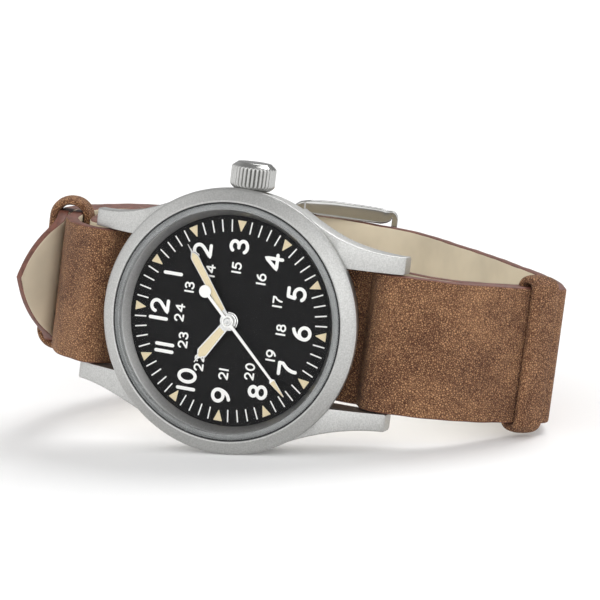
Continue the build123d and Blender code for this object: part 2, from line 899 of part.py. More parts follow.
# Barrel bridge, with pockets for the ratchet wheel, crown wheel and click
split_half = bridge_split_gap / 2
with BuildPart() as barrel_bridge:
    with BuildSketch(DIAL.offset(bridge_top)):
        Polygon(
            (-movement_radius, bridge_split_y + split_half),
            (bridge_cut_x + split_half, bridge_split_y + split_half),
            (bridge_cut_x + split_half, bridge_cut_y),
            (bridge_corner_x + split_half, bridge_corner_y),
            (bridge_edge_x, bridge_edge_y),
            (movement_radius, bridge_edge_y),
            (movement_radius, movement_radius),
            (-movement_radius, movement_radius),
            align=None,
        )
        Circle(bridge_radius, mode=Mode.INTERSECT)
    extrude(amount=bridge_low - bridge_top)
    with BuildSketch(DIAL.offset(plate_low)):
        for foot in (foot_left, foot_right):
            with Locations(foot):
                Circle(bridge_foot_radius)
        Circle(bridge_radius, mode=Mode.INTERSECT)
    extrude(amount=bridge_top - plate_low)
    rod(barrel, ratchet_tip + pocket_gap, pocket_floor, bridge_low, mode=Mode.SUBTRACT)
    rod(crown_wheel, crown_wheel_tip + pocket_gap, pocket_floor, bridge_low, mode=Mode.SUBTRACT)
    rod(click_place, click_radius + pocket_gap, pocket_floor, bridge_low, mode=Mode.SUBTRACT)
    rod(crown_wheel, crown_wheel_boss, pocket_floor, bridge_low)
    rod(click_place, post_radius, pocket_floor, bridge_low)
    rod(barrel, barrel_arbor_radius + fit_gap, bridge_top, bridge_low, mode=Mode.SUBTRACT)
    window_centre = winding_pinion_start + winding_pinion_length / 2
    with BuildSketch(at((window_centre, 0), bridge_top + overrun)):
        Rectangle(winding_pinion_length + 2 * pocket_gap, 2 * (winding_pinion_root + pocket_gap))
    extrude(amount=pocket_floor - bridge_top - overrun, mode=Mode.SUBTRACT)
    for place in (foot_left, foot_right, *clamp_screws):
        rod(place, screw_radius + running_gap, plate_low, bridge_low, mode=Mode.SUBTRACT)
save(barrel_bridge, "barrel_bridge")

# Train bridge, on one broad foot
train_outline = (
    (-movement_radius, train_rim_y),
    (train_corner_x, train_corner_y),
    (train_edge_x, train_edge_y),
    (bridge_corner_x - split_half, (bridge_edge_y + train_edge_y) / 2),
    (bridge_corner_x - split_half, bridge_corner_y),
    (bridge_cut_x - split_half, bridge_cut_y),
    (bridge_cut_x - split_half, bridge_split_y - split_half),
    (-movement_radius, bridge_split_y - split_half),
)
with BuildPart() as train_bridge:
    with BuildSketch(DIAL.offset(bridge_top)):
        Polygon(*train_outline, align=None)
        Circle(bridge_radius, mode=Mode.INTERSECT)
    extrude(amount=bridge_low - bridge_top)
    with BuildSketch(DIAL.offset(plate_low)):
        Polygon(*train_outline, align=None)
        Circle(bridge_radius, mode=Mode.INTERSECT)
        with Locations((train_foot_x + movement_radius, 0)):
            Rectangle(2 * movement_radius, 2 * movement_radius, mode=Mode.SUBTRACT)
    extrude(amount=bridge_top - plate_low)
    for place in train_jewels:
        rod(place, jewel_radius, bridge_top, bridge_top - jewel_height, mode=Mode.SUBTRACT)
    rod(foot_train, screw_radius + running_gap, plate_low, bridge_low, mode=Mode.SUBTRACT)
save(train_bridge, "train_bridge")

# Cocks of the balance and of the pallets
with BuildPart() as balance_cock:
    with BuildSketch(DIAL.offset(cock_top)):
        link(balance, cock_foot, cock_head_radius, cock_foot_radius)
    extrude(amount=bridge_low - cock_top)
    rod(cock_foot, cock_foot_radius, plate_low, cock_top)
    rod(balance, jewel_radius, cock_top, cock_top - jewel_height, mode=Mode.SUBTRACT)
    rod(cock_foot, screw_radius + running_gap, plate_low, bridge_low, mode=Mode.SUBTRACT)
save(balance_cock, "balance_cock")

with BuildPart() as pallet_cock:
    with BuildSketch(DIAL.offset(pallet_cock_top)):
        link(*pallet_feet, pallet_cock_radius, pallet_cock_radius)
        with Locations(*pallet_feet):
            Circle(pallet_screw_head + running_gap, mode=Mode.SUBTRACT)
        with Locations(pallet):
            Circle(jewel_bore, mode=Mode.SUBTRACT)
    extrude(amount=-pallet_cock_height)
    for foot in pallet_feet:
        rod(foot, pallet_cock_radius, plate_low, pallet_cock_top, screw_radius + running_gap)
save(pallet_cock, "pallet_cock")

# Jewels: in the plate, the train bridge and the balance cock
jewel_seat = jewel_radius - running_gap / 3
with BuildPart() as jewels:
    for place in plate_jewels:
        rod(place, jewel_seat, plate_low + jewel_height, plate_low, jewel_bore)
    for place in train_jewels:
        rod(place, jewel_seat, bridge_top, bridge_top - jewel_height, jewel_bore)
    rod(balance, jewel_seat, cock_top, cock_top - jewel_height, jewel_bore)
save(jewels, "jewels")


def screw(place, seat, end, head_radius=screw_head_radius):
    """A slotted screw: its head below the seat, its shank up to its end."""
    rod(place, head_radius, seat, seat - screw_head_height)
    rod(place, screw_radius, end, seat)
    with BuildSketch(at(place, seat - screw_head_height)) as slot:
        Rectangle(2 * head_radius, screw_slot)
    extrude(slot.sketch, amount=screw_head_height / 2, mode=Mode.SUBTRACT)


with BuildPart() as bridge_screws:
    for place in screw_places:
        screw(place, bridge_low, plate_low + jewel_height)
    for place in pallet_feet:
        screw(place, pallet_cock_top, plate_low + jewel_height, pallet_screw_head)
save(bridge_screws, "bridge_screws")

with BuildPart() as case_clamps:
    for degrees, place in zip(clamp_bearings, clamp_screws):
        with BuildSketch(DIAL.offset(bridge_low)) as strip:
            link(place, bearing(clamp_start + clamp_length, degrees), clamp_radius, clamp_radius)
        extrude(strip.sketch, amount=-clamp_height)
        screw(place, bridge_low - clamp_height, bridge_top)
save(case_clamps, "case_clamps")

# Going barrel with its cover, mainspring and arbor
with BuildPart() as mainspring_barrel:
    with BuildSketch(at(barrel, barrel_top)):
        teeth(barrel_teeth, barrel_module, barrel_bearing + 180)
        Circle(barrel_arbor_radius + fit_gap, mode=Mode.SUBTRACT)
    extrude(amount=-barrel_teeth_height)
    rod(barrel, drum_radius, barrel_top - barrel_teeth_height, drum_low, drum_radius - drum_wall)
save(mainspring_barrel, "mainspring_barrel")

with BuildPart() as barrel_cover:
    cover_radius = drum_radius - drum_wall - running_gap
    rod(barrel, cover_radius, drum_low + barrel_cover_height, drum_low, barrel_arbor_radius + fit_gap)
save(barrel_cover, "barrel_cover")


def spiral(start, end, turns, blade):
    """The plan of a flat coil: its inner face out, its outer face back."""
    steps = turns * 360 // spiral_step
    inner = []
    outer = []
    for step in range(steps + 1):
        radius = start + (end - start) * step / steps
        inner.append(bearing(radius, spiral_step * step))
        outer.append(bearing(radius + blade, spiral_step * step))
    Polygon(*outer, *reversed(inner), align=None)


spring_top = barrel_top - barrel_teeth_height - running_gap
with BuildPart() as mainspring:
    with BuildSketch(at(barrel, spring_top)):
        spring_start = barrel_core_radius + 2 * fit_gap
        spring_end = drum_radius - drum_wall - mainspring_blade - 2 * fit_gap
        spiral(spring_start, spring_end, mainspring_turns, mainspring_blade)
    extrude(amount=-mainspring_height)
save(mainspring, "mainspring")

with BuildPart() as barrel_arbor:
    rod(barrel, barrel_arbor_radius, plate_low + jewel_height, winding_wheel_top)
    rod(barrel, barrel_core_radius, spring_top, spring_top - mainspring_height)
save(barrel_arbor, "barrel_arbor")

wheel_low = winding_wheel_top - winding_wheel_height
with BuildPart() as ratchet_wheel:
    with BuildSketch(at(barrel, winding_wheel_top)):
        teeth(ratchet_teeth, winding_module, towards(barrel, crown_wheel))
    extrude(amount=-winding_wheel_height)
    rod(barrel, ratchet_screw_radius, wheel_low, wheel_low - screw_head_height)
    with BuildSketch(at(barrel, wheel_low - screw_head_height)):
        Rectangle(2 * ratchet_screw_radius, screw_slot)
    extrude(amount=screw_head_height / 2, mode=Mode.SUBTRACT)
save(ratchet_wheel, "ratchet_wheel")

with BuildPart() as winding_wheel:
    with BuildSketch(at(crown_wheel, winding_wheel_top)):
        teeth(crown_wheel_teeth, winding_module, towards(crown_wheel, barrel), gap=True)
        Circle(crown_wheel_boss + running_gap, mode=Mode.SUBTRACT)
    extrude(amount=-winding_wheel_height)
save(winding_wheel, "crown_wheel")

with BuildPart() as click:
    nose_reach = click_radius + 2 * fit_gap - click_lift
    with BuildSketch(at(click_place, winding_wheel_top, click_bearing + 180)):
        Circle(click_radius)
        Polygon(
            (0, 0),
            (nose_reach, click_nose),
            (nose_reach - click_nose / 2, click_radius),
            (0, click_radius),
            align=None,
        )
        Circle(post_radius + running_gap, mode=Mode.SUBTRACT)
    extrude(amount=-winding_wheel_height)
save(click, "click")


def toothed(plane, height, count, module, degrees, gap=False, bore=0):
    """A wheel or a pinion of the train, below its plane."""
    with BuildSketch(plane) as face:
        teeth(count, module, degrees, gap)
        if bore:
            Circle(bore, mode=Mode.SUBTRACT)
    extrude(face.sketch, amount=-height)


def arbor(place, top, low):
    """An arbor with a fine pivot at each end."""
    rod(place, arbor_radius, top, low)
    rod(place, pivot_radius, top + pivot_length, low - pivot_length)


# Train wheels, each on its arbor
with BuildPart() as centre_wheel:
    wheel_plane = at(centre, centre_wheel_top)
    toothed(wheel_plane, wheel_height, centre_teeth, centre_module, third_bearing, bore=centre_arbor_bore)
    toothed(
        at(centre, centre_pinion_top),
        centre_pinion_height,
        centre_pinion_teeth,
        barrel_module,
        barrel_bearing,
        gap=True,
        bore=centre_arbor_bore,
    )
    rod(centre, centre_arbor_radius, minute_height, centre_wheel_top, centre_arbor_bore)
save(centre_wheel, "centre_wheel")

with BuildPart() as third_wheel:
    arbor(third, plate_low - running_gap, bridge_top + running_gap)
    inward = third_bearing + 180
    toothed(
        at(third, third_pinion_top), third_pinion_height, third_pinion_teeth, centre_module, inward, gap=True
    )
    toothed(at(third, third_wheel_top), wheel_height, third_teeth, third_module, inward)
save(third_wheel, "third_wheel")

with BuildPart() as fourth_wheel:
    rod(centre, fourth_arbor_radius, seconds_height + hand_thickness, bridge_top - pivot_length)
    toothed(
        at(centre, fourth_pinion_top),
        fourth_pinion_height,
        fourth_pinion_teeth,
        third_module,
        third_bearing,
        gap=True,
    )
    toothed(at(centre, fourth_wheel_top), wheel_height, fourth_teeth, fourth_module, escape_bearing)
save(fourth_wheel, "fourth_wheel")

with BuildPart() as escape_wheel:
    arbor(escape, plate_low - running_gap, bridge_top + running_gap)
    toothed(
        at(escape, escape_pinion_top),
        escape_pinion_height,
        escape_pinion_teeth,
        fourth_module,
        escape_bearing + 180,
        gap=True,
    )
    with BuildSketch(at(escape, escape_wheel_top)):
        saw(escape_teeth, escape_root_radius, escape_radius, 0, escape_tip_shares)
    extrude(amount=-wheel_height)
save(escape_wheel, "escape_wheel")

# Pallet fork: two arms with stones over the escape wheel, one arm to the balance
with BuildPart() as pallet_fork:
    arbor(pallet, plate_low - running_gap, pallet_cock_top + running_gap)
    with BuildSketch(DIAL.offset(pallet_top)):
        for side in (-1, 1):
            stone = bearing(pallet_stone_distance, line_bearing + side * pallet_stone_bearing, escape)
            link(pallet, stone, pallet_bar, pallet_bar / 4)
            with Locations(stone):
                Rectangle(pallet_stone, pallet_stone, rotation=line_bearing)
        link(pallet, bearing(pallet_fork_reach, line_bearing, pallet), pallet_bar, pallet_bar / 3)
    extrude(amount=-pallet_height)
save(pallet_fork, "pallet_fork")

# Balance with its roller and hairspring
with BuildPart() as balance_wheel:
    arbor(balance, plate_low - running_gap, cock_top + running_gap)
    rod(balance, balance_radius, balance_top, balance_top - balance_height, balance_radius - balance_rim)
    rod(balance, balance_hub, balance_top, balance_top - balance_height)
    with BuildSketch(at(balance, balance_top)):
        Rectangle(2 * balance_radius - balance_rim, balance_arm)
    extrude(amount=-balance_height)
    rod(balance, roller_radius, roller_top, roller_top - roller_height)
    impulse = bearing(-impulse_distance, line_bearing, balance)
    rod(impulse, impulse_radius, impulse_top, roller_top)
save(balance_wheel, "balance_wheel")

with BuildPart() as hairspring:
    with BuildSketch(at(balance, hairspring_top)):
        spiral(hairspring_start, hairspring_radius, hairspring_turns, hairspring_blade)
    extrude(amount=-hairspring_height)
save(hairspring, "hairspring")

# Motion work
with BuildPart() as cannon_pinion:
    cannon_height = cannon_top - cannon_low
    cannon_plane = at(centre, cannon_top)
    toothed(
        cannon_plane, cannon_height, cannon_teeth, cannon_module, motion_bearing, gap=True, bore=cannon_bore
    )
    rod(centre, cannon_tube_radius, minute_height + hand_thickness, cannon_top, cannon_bore)
save(cannon_pinion, "cannon_pinion")

with BuildPart() as minute_wheel:
    outward = motion_bearing + 180
    post_bore = motion_post_radius + running_gap
    wheel_plane = at(motion, minute_wheel_top)
    toothed(wheel_plane, minute_wheel_height, minute_wheel_teeth, cannon_module, outward, bore=post_bore)
    toothed(
        at(motion, minute_pinion_top),
        minute_pinion_top - minute_wheel_top,
        minute_pinion_teeth,
        hour_module,
        outward,
        gap=True,
        bore=post_bore,
    )
save(minute_wheel, "minute_wheel")

with BuildPart() as hour_wheel:
    wheel_plane = at(centre, hour_wheel_top)
    toothed(wheel_plane, hour_wheel_height, hour_teeth, hour_module, motion_bearing, bore=hour_tube_bore)
    rod(centre, hour_tube_radius, hour_height + hand_thickness, hour_wheel_top, hour_tube_bore)
save(hour_wheel, "hour_wheel")

# Keyless work: winding and sliding pinions on the stem, lever and yoke
stem_bore = stem_radius + running_gap
with BuildPart() as winding_pinion:
    with BuildSketch(STEM.offset(winding_pinion_start)):
        saw(winding_teeth, winding_pinion_root, winding_pinion_radius, 180, tooth_tip_shares)
        Circle(stem_bore, mode=Mode.SUBTRACT)
    extrude(amount=winding_pinion_length)
save(winding_pinion, "winding_pinion")

with BuildPart() as sliding_pinion:
    sliding_groove_end = sliding_groove_start + sliding_groove_length
    stem_rod(sliding_radius, sliding_start, sliding_groove_start, stem_bore)
    stem_rod(sliding_groove_radius, sliding_groove_start, sliding_groove_end, stem_bore)
    stem_rod(sliding_radius, sliding_groove_end, sliding_start + sliding_length, stem_bore)
save(sliding_pinion, "sliding_pinion")

with BuildPart() as setting_lever:
    with BuildSketch(DIAL.offset(lever_top)):
        link(lever_pivot, lever_pin, lever_radius, lever_tip_radius)
        with Locations(lever_pivot):
            Circle(post_radius + running_gap, mode=Mode.SUBTRACT)
    extrude(amount=-lever_height)
    rod(lever_pin, lever_pin_radius, lever_pin_top, lever_top)
save(setting_lever, "setting_lever")

with BuildPart() as yoke:
    yoke_bend = (sliding_groove_start + sliding_groove_length / 2, yoke_bend_y)
    yoke_end_y = -sliding_groove_radius - running_gap
    with BuildSketch(DIAL.offset(yoke_top)):
        link(yoke_pivot, yoke_bend, yoke_radius, yoke_tip_radius)
        with Locations((yoke_bend[0], (yoke_bend_y + yoke_end_y) / 2)):
            Rectangle(yoke_finger, yoke_end_y - yoke_bend_y)
        with Locations(yoke_pivot):
            Circle(post_radius + running_gap, mode=Mode.SUBTRACT)
    extrude(amount=-yoke_height)
save(yoke, "yoke")

# Route of the strap's long layer, from its tip to the buckle
under_case = -back_low + fit_gap + strap_thickness / 2
half_turn = math.radians((bar_entry_heading - bar_exit_heading) / 2)
wrap_side = heading((bar_entry_heading + bar_exit_heading) / 2 + 90)
near_wrap = Vector(bar_distance, bar_depth) + wrap_side * (wrap_radius / math.cos(half_turn))
near_leaf = near_wrap - heading(bar_entry_heading) * bar_leaf_length
exit_run = heading(bar_exit_heading)
near_under = near_wrap + exit_run * ((under_case - near_wrap.Y) / exit_run.Y)
far_under = Vector(-near_under.X, under_case)
far_wrap = far_under - heading(180 - bar_exit_heading) * far_wrap_length
left_near = from_shares(left_near_shares)
left_low = from_shares(left_low_shares)
left_mid = from_shares(left_mid_shares)
left_high = from_shares(left_high_shares)
left_run = (left_mid - left_low).normalized()
lap = left_of(left_run) * (strap_thickness + tail_gap)
tail_low = left_low + lap + left_run * tail_low_slip
tail_mid = left_mid + lap + left_run * tail_mid_slip
buckle_run = (pin_bar - left_high).normalized()
strap_end = pin_bar - buckle_run * ((bar_radius + strap_eye_radius) / 2)
strap_points = [
    from_shares(tail_tip_shares),
    tail_low,
    tail_mid,
    from_shares(tail_high_shares),
    from_shares(crest_left_shares),
    from_shares(crest_right_shares),
    from_shares(shoulder_shares),
    from_shares(right_high_shares),
    from_shares(right_mid_shares),
    right_bend,
    right_low,
    near_leaf,
    near_wrap,
    near_under,
    far_under,
    far_wrap,
    left_near,
    left_low,
    left_mid,
    left_high,
    strap_end,
]
tail_bends = [tail_low_bend, tail_mid_bend, long_bend, crest_bend, back_bend, crest_bend]
right_bends = [long_bend, long_bend, keeper_bend, crest_bend, crest_bend, wrap_radius, tight_bend]
left_bends = [tight_bend, far_bar_bend, near_bend, low_bend, mid_bend, back_bend]


def band(points, bends, thickness):
    """A strip of leather along a route, as wide as the strap."""
    with BuildLine(HEAD) as route:
        FilletPolyline(*[(point.X, point.Y) for point in points], radius=bends)
    wire = route.wires()[0]
    start = Plane(origin=wire @ 0, x_dir=HEAD.z_dir, z_dir=wire % 0)
    with BuildSketch(start) as section:
        Rectangle(strap_width, thickness)
    sweep(section.sketch, path=wire)
    return wire


def along(wire, distance):
    """A plane in the strap's face at a distance along it: x along, y across."""
    share = distance / wire.length
    tangent = wire % share
    return Plane(origin=wire @ share, x_dir=tangent, z_dir=HEAD.z_dir.cross(tangent))


bar_run = (outer_bar - pin_bar).normalized()
tongue_seat = outer_bar + left_of(bar_run) * (outer_bar_radius + fit_gap + tongue_thickness / 2)
tongue_heading = towards((pin_bar_x, pin_bar_y), (tongue_seat.X, tongue_seat.Y))
tongue_length = (tongue_seat - pin_bar).length + tongue_overhang

with BuildPart() as strap_main:
    strap_wire = band(strap_points, tail_bends + right_bends + left_bends, strap_thickness)
    # the end is folded round the buckle's bar, open in the middle for the tongue
    cross_rod(pin_bar, strap_eye_radius, strap_width / 2)
    cross_rod(pin_bar, bar_radius + fit_gap, strap_width, mode=Mode.SUBTRACT)
    cross_rod(pin_bar, strap_eye_radius + fit_gap, strap_eye_slot / 2, mode=Mode.SUBTRACT)
    # the tail's rounded point
    with BuildSketch(along(strap_wire, 0)) as point_cut:
        with Locations(((tail_point_length - overrun) / 2, 0)):
            Rectangle(tail_point_length + overrun, strap_width + overrun)
        with BuildLine():
            Line((tail_point_length, -strap_width / 2), (tail_point_length, strap_width / 2))
            ThreePointArc(
                (tail_point_length, strap_width / 2),
                (tail_point_length / 2 - tail_point_bulge, strap_width / 4 + tail_point_bulge),
                (0, 0),
            )
            ThreePointArc(
                (0, 0),
                (tail_point_length / 2 - tail_point_bulge, -strap_width / 4 - tail_point_bulge),
                (tail_point_length, -strap_width / 2),
            )
        make_face(mode=Mode.SUBTRACT)
    extrude(point_cut.sketch, amount=strap_thickness / 2 + layer_gap, both=True, mode=Mode.SUBTRACT)
    # the hole that the tongue passes, then the free ones towards the tip
    slot_half = tongue_thickness / 2 + tongue_slot_gap
    slot_low = bearing(-slot_half, tongue_heading + 90, (pin_bar_x, pin_bar_y))
    slot_high = bearing(slot_half, tongue_heading + 90, (pin_bar_x, pin_bar_y))
    with BuildSketch(HEAD.offset(-tongue_slot_width / 2)) as slot:
        Polygon(
            slot_low,
            bearing(tongue_length, tongue_heading, slot_low),
            bearing(tongue_length, tongue_heading + tongue_travel, slot_high),
            slot_high,
            align=None,
        )
    extrude(slot.sketch, amount=tongue_slot_width, mode=Mode.SUBTRACT)
    for index in range(punch_count):
        with BuildSketch(along(strap_wire, punch_first + index * punch_pitch)) as punch:
            Circle(punch_radius)
        extrude(punch.sketch, amount=strap_thickness / 2 + layer_gap, both=True, mode=Mode.SUBTRACT)
save(strap_main, "strap_main")

# Inner layer: lies against the wrist, from the buckle to the fixed keeper
inner_depth = under_case + (strap_thickness + under_thickness) / 2 + fit_gap
inner_points = [
    pin_bar - buckle_run * inner_end_back - left_of(buckle_run) * layer_distance,
    corner(left_mid, left_high, pin_bar, -layer_distance),
    from_shares(inner_left_mid_shares),
    from_shares(inner_left_low_shares),
    Vector(loop_depth * inner_left_near_share, inner_depth),
    Vector(bar_distance, inner_depth),
    corner(near_wrap, near_leaf, right_low, layer_distance),
    corner(near_leaf, right_low, right_bend, layer_distance),
    right_bend
    - keeper_run * (keeper_from_bend + keeper_length + inner_end_gap)
    + left_of(keeper_run) * layer_distance,
]
inner_bends = [
    back_bend - layer_distance,
    inner_mid_bend,
    inner_low_bend,
    inner_near_bend,
    crest_bend,
    crest_bend - layer_distance,
    crest_bend - layer_distance,
]
with BuildPart() as strap_under:
    band(inner_points, inner_bends, under_thickness)
save(strap_under, "strap_under")


def keeper_ring(opening):
    """A keeper's band round an opening of the given thickness."""
    inner_width = strap_width + 2 * keeper_end_gap
    RectangleRounded(inner_width + 2 * keeper_leather, opening + 2 * keeper_leather, keeper_corner)
    RectangleRounded(inner_width, opening, keeper_inner_corner, mode=Mode.SUBTRACT)


fixed_opening = strap_thickness + 2 * keeper_side_gap
fixed_place = right_bend - keeper_run * (keeper_from_bend + keeper_length / 2)
with BuildPart() as keeper_fixed:
    with BuildSketch(across(fixed_place, keeper_run)):
        keeper_ring(fixed_opening)
    extrude(amount=keeper_length / 2, both=True)
save(keeper_fixed, "keeper_fixed")

free_opening = 2 * strap_thickness + tail_gap + 2 * keeper_side_gap
free_place = left_low + left_run * free_keeper_at + lap * (1 / 2)
with BuildPart() as keeper_free:
    with BuildSketch(across(free_place, left_run)):
        keeper_ring(free_opening)
    extrude(amount=free_keeper_length / 2, both=True)
save(keeper_free, "keeper_free")

# Buckle: two arms joined by the outer bar, the pin bar between them, the tongue
buckle_half = buckle_inner_width / 2
with BuildPart() as buckle_frame:
    for start in (-buckle_half - buckle_arm_width, buckle_half):
        with BuildSketch(HEAD.offset(start)) as arm:
            link((pin_bar_x, pin_bar_y), (outer_bar_x, outer_bar_y), buckle_heel_radius, buckle_arm_radius)
        extrude(arm.sketch, amount=buckle_arm_width)
    side_faces = buckle_frame.faces().sort_by(Axis(HEAD.origin, HEAD.z_dir))
    chamfer(side_faces[0].edges() + side_faces[-1].edges(), buckle_edge)
    cross_rod(outer_bar, outer_bar_radius, buckle_half + fit_gap)
    cross_rod(pin_bar, bar_radius + fit_gap, buckle_half + pin_bar_socket + fit_gap, mode=Mode.SUBTRACT)
save(buckle_frame, "buckle_frame")

with BuildPart() as buckle_bar:
    cross_rod(pin_bar, bar_radius, buckle_half + pin_bar_socket)
save(buckle_bar, "buckle_bar")

with BuildPart() as buckle_tongue:
    with BuildSketch(HEAD.offset(-tongue_width / 2)):
        with Locations((pin_bar_x, pin_bar_y)):
            Circle(tongue_eye_radius)
        with Locations(bearing(tongue_length / 2, tongue_heading, (pin_bar_x, pin_bar_y))):
            Rectangle(tongue_length, tongue_thickness, rotation=tongue_heading)
    extrude(amount=tongue_width)
    cross_rod(pin_bar, bar_radius + running_gap, tongue_width, mode=Mode.SUBTRACT)
save(buckle_tongue, "buckle_tongue")
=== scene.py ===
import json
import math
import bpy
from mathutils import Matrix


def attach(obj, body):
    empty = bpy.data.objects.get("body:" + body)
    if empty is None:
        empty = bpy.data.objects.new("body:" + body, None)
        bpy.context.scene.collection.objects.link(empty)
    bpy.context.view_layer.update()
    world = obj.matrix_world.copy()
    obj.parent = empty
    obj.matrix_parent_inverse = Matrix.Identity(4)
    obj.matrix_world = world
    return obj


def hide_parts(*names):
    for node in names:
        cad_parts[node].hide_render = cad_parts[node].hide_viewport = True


bl_info = {
    "name": "Field Watch Looks",
    "version": (1, 0, 0),
    "blender": (4, 5, 0),
    "location": "View3D > Sidebar > Field Watch",
    "description": "Dresses the CAD frame of a field watch with its dial print, leather, steel and glass",
    "category": "Add Mesh",
}

from itertools import product

import bmesh
import bpy
import numpy as np
from bpy.props import FloatProperty, PointerProperty, StringProperty
from mathutils import Matrix

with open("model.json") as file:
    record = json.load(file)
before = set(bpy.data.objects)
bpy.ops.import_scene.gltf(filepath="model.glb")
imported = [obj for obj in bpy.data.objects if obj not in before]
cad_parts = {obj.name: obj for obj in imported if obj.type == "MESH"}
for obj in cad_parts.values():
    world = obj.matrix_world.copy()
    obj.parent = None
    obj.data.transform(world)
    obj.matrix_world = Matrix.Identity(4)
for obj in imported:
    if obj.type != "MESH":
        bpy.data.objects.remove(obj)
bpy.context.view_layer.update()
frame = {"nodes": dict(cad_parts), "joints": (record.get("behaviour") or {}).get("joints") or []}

MM = 0.001
NODES = frame["nodes"]
JOINTS = {joint["name"]: joint for joint in frame["joints"]}


# Directions and places


def unit(vectors):
    """Vectors made one long."""
    vectors = np.asarray(vectors, float)
    return vectors / np.linalg.norm(vectors, axis=-1, keepdims=True)


def left_of(directions):
    """The directions a quarter turn anticlockwise."""
    return np.stack([-directions[..., 1], directions[..., 0]], axis=-1)


def heading(degrees):
    """A direction in degrees from 6 o'clock."""
    return np.array([math.cos(math.radians(degrees)), math.sin(math.radians(degrees))])


def circle(count):
    """Angles that share out one full turn."""
    return np.linspace(0, math.tau, count, endpoint=False)


def rounded_wave(values, power):
    """A wave flattened towards its ends: its sign times its size to a power."""
    return np.sign(values) * np.abs(values) ** power


def lifted(flat, third):
    """Flat places with their third coordinate."""
    return np.concatenate([flat, np.broadcast_to(third, flat.shape[:-1])[..., None]], axis=-1)


def steps(points):
    """The length of each step from a point to the next."""
    return np.linalg.norm(np.diff(points, axis=0), axis=1)


def distinct(points):
    """Points without those that repeat the one before."""
    return points[np.concatenate([[True], steps(points) > 1e-6])]


def along_at(distance, length, points):
    """What points at the given lengths come to at other distances, read off straight between them."""
    return np.stack([np.interp(distance, length, column) for column in np.transpose(points)], axis=-1)


# The head's own axes, read from the frame: towards 6 o'clock, from the dial
# into the strap's loop, and towards the crown. Its origin is the dial's centre.
CENTRE = np.array(JOINTS["seconds_turn"]["pos_m"])
INWARD, CROWNWARD = (unit(JOINTS[name]["axis"]) for name in ("seconds_turn", "crown_pull"))
HEAD_AXES = np.array([np.cross(INWARD, CROWNWARD), INWARD, CROWNWARD])
HOURS = np.arange(12)


def head(places):
    """Places in millimetres on the head's axes, as points in metres in the frame."""
    return CENTRE + np.asarray(places, float) @ HEAD_AXES * MM


def dial(places):
    """Places (towards 3 o'clock, towards 12 o'clock, out of the dial) as points in the frame."""
    across, up, out = np.moveaxis(np.asarray(places, float), -1, 0)
    return head(np.stack([-up, -out, across], axis=-1))


def clock(radius, degrees):
    """A place at a radius and an angle clockwise from 12 o'clock, as (towards 3, towards 12)."""
    turn = np.radians(degrees)
    return np.array([radius * np.sin(turn), radius * np.cos(turn)])


def spun(radius, height, turn):
    """Radii and heights out of the dial at angles clockwise from 12 o'clock, as places on the dial."""
    return np.stack(np.broadcast_arrays(radius * np.sin(turn), radius * np.cos(turn), height), axis=-1)


# Sizes and colours that a user would change


class DialSizes(bpy.types.PropertyGroup):
    """Sizes of the dial's print, in millimetres."""

    hour_radius: FloatProperty(name="Hour ring", description="Radius of the large numerals", default=10.8)
    hour_height: FloatProperty(name="Hour height", description="Height of the large numerals", default=2.95)
    hour_stroke: FloatProperty(name="Hour stroke", description="Stroke of the large numerals", default=0.5)
    day_radius: FloatProperty(name="24-hour ring", description="Radius of the small numerals", default=7.7)
    day_height: FloatProperty(name="24-hour height", description="Height of the small numerals", default=1.5)
    day_stroke: FloatProperty(name="24-hour stroke", description="Stroke of the small numerals", default=0.26)
    tick_inner: FloatProperty(name="Tick inner", description="Inner radius of the minute track", default=12.8)
    tick_outer: FloatProperty(name="Tick outer", description="Outer radius of the minute track", default=14.4)
    tick_width: FloatProperty(name="Tick width", description="Width of a minute mark", default=0.2)
    triangle_radius: FloatProperty(name="Triangles", description="Radius of the hour triangles", default=13.6)
    triangle_length: FloatProperty(name="Triangle length", description="Along the radius", default=1.65)
    triangle_base: FloatProperty(name="Triangle base", description="Across the radius", default=1.35)
    print_height: FloatProperty(name="Print height", description="Thickness of the ink", default=0.025)


class LeatherSizes(bpy.types.PropertyGroup):
    """Sizes of the leather, in millimetres."""

    strap_width: FloatProperty(name="Strap width", description="Width of both layers", default=19.7)
    strap_thickness: FloatProperty(name="Outer layer", description="Thickness of the long layer", default=1.8)
    under_thickness: FloatProperty(name="Inner layer", description="Thickness of the inner layer", default=1.5)
    keeper_leather: FloatProperty(name="Keeper", description="Thickness of a keeper's band", default=1.15)
    grain: FloatProperty(name="Nubuck grain", description="Width of a grain of the nap", default=0.31)
    mottle: FloatProperty(name="Mottling", description="Width of a lighter or darker patch", default=9.0)


class Finishes(bpy.types.PropertyGroup):
    """Colours of the finishes, as hex values, and the grit of the blasted steel."""

    nubuck_light: StringProperty(name="Nubuck, rubbed", description="Raised nap", default="#CF9E72")
    nubuck_mid: StringProperty(name="Nubuck", description="Body colour", default="#93684A")
    nubuck_dark: StringProperty(name="Nubuck, dark", description="Between the grains", default="#4E2E20")
    edge_paint: StringProperty(name="Edge paint", description="Painted strap edges", default="#75493C")
    lining: StringProperty(name="Lining", description="Smooth side of the strap", default="#DCD0B8")
    lume: StringProperty(name="Lume", description="Aged luminous paint", default="#EADBB6")
    ink: StringProperty(name="Ink", description="White dial print", default="#FBFBF8")
    steel: StringProperty(name="Steel", description="Bead-blasted steel", default="#C2C2C0")
    grit: FloatProperty(name="Grit", description="Width of a blasted dimple, in mm", default=0.2)


def sizes(kind):
    """One of the property groups of this scene."""
    return getattr(bpy.context.scene, kind)


# Meshes: a part is its points, stored ring by ring, and its arrays of faces


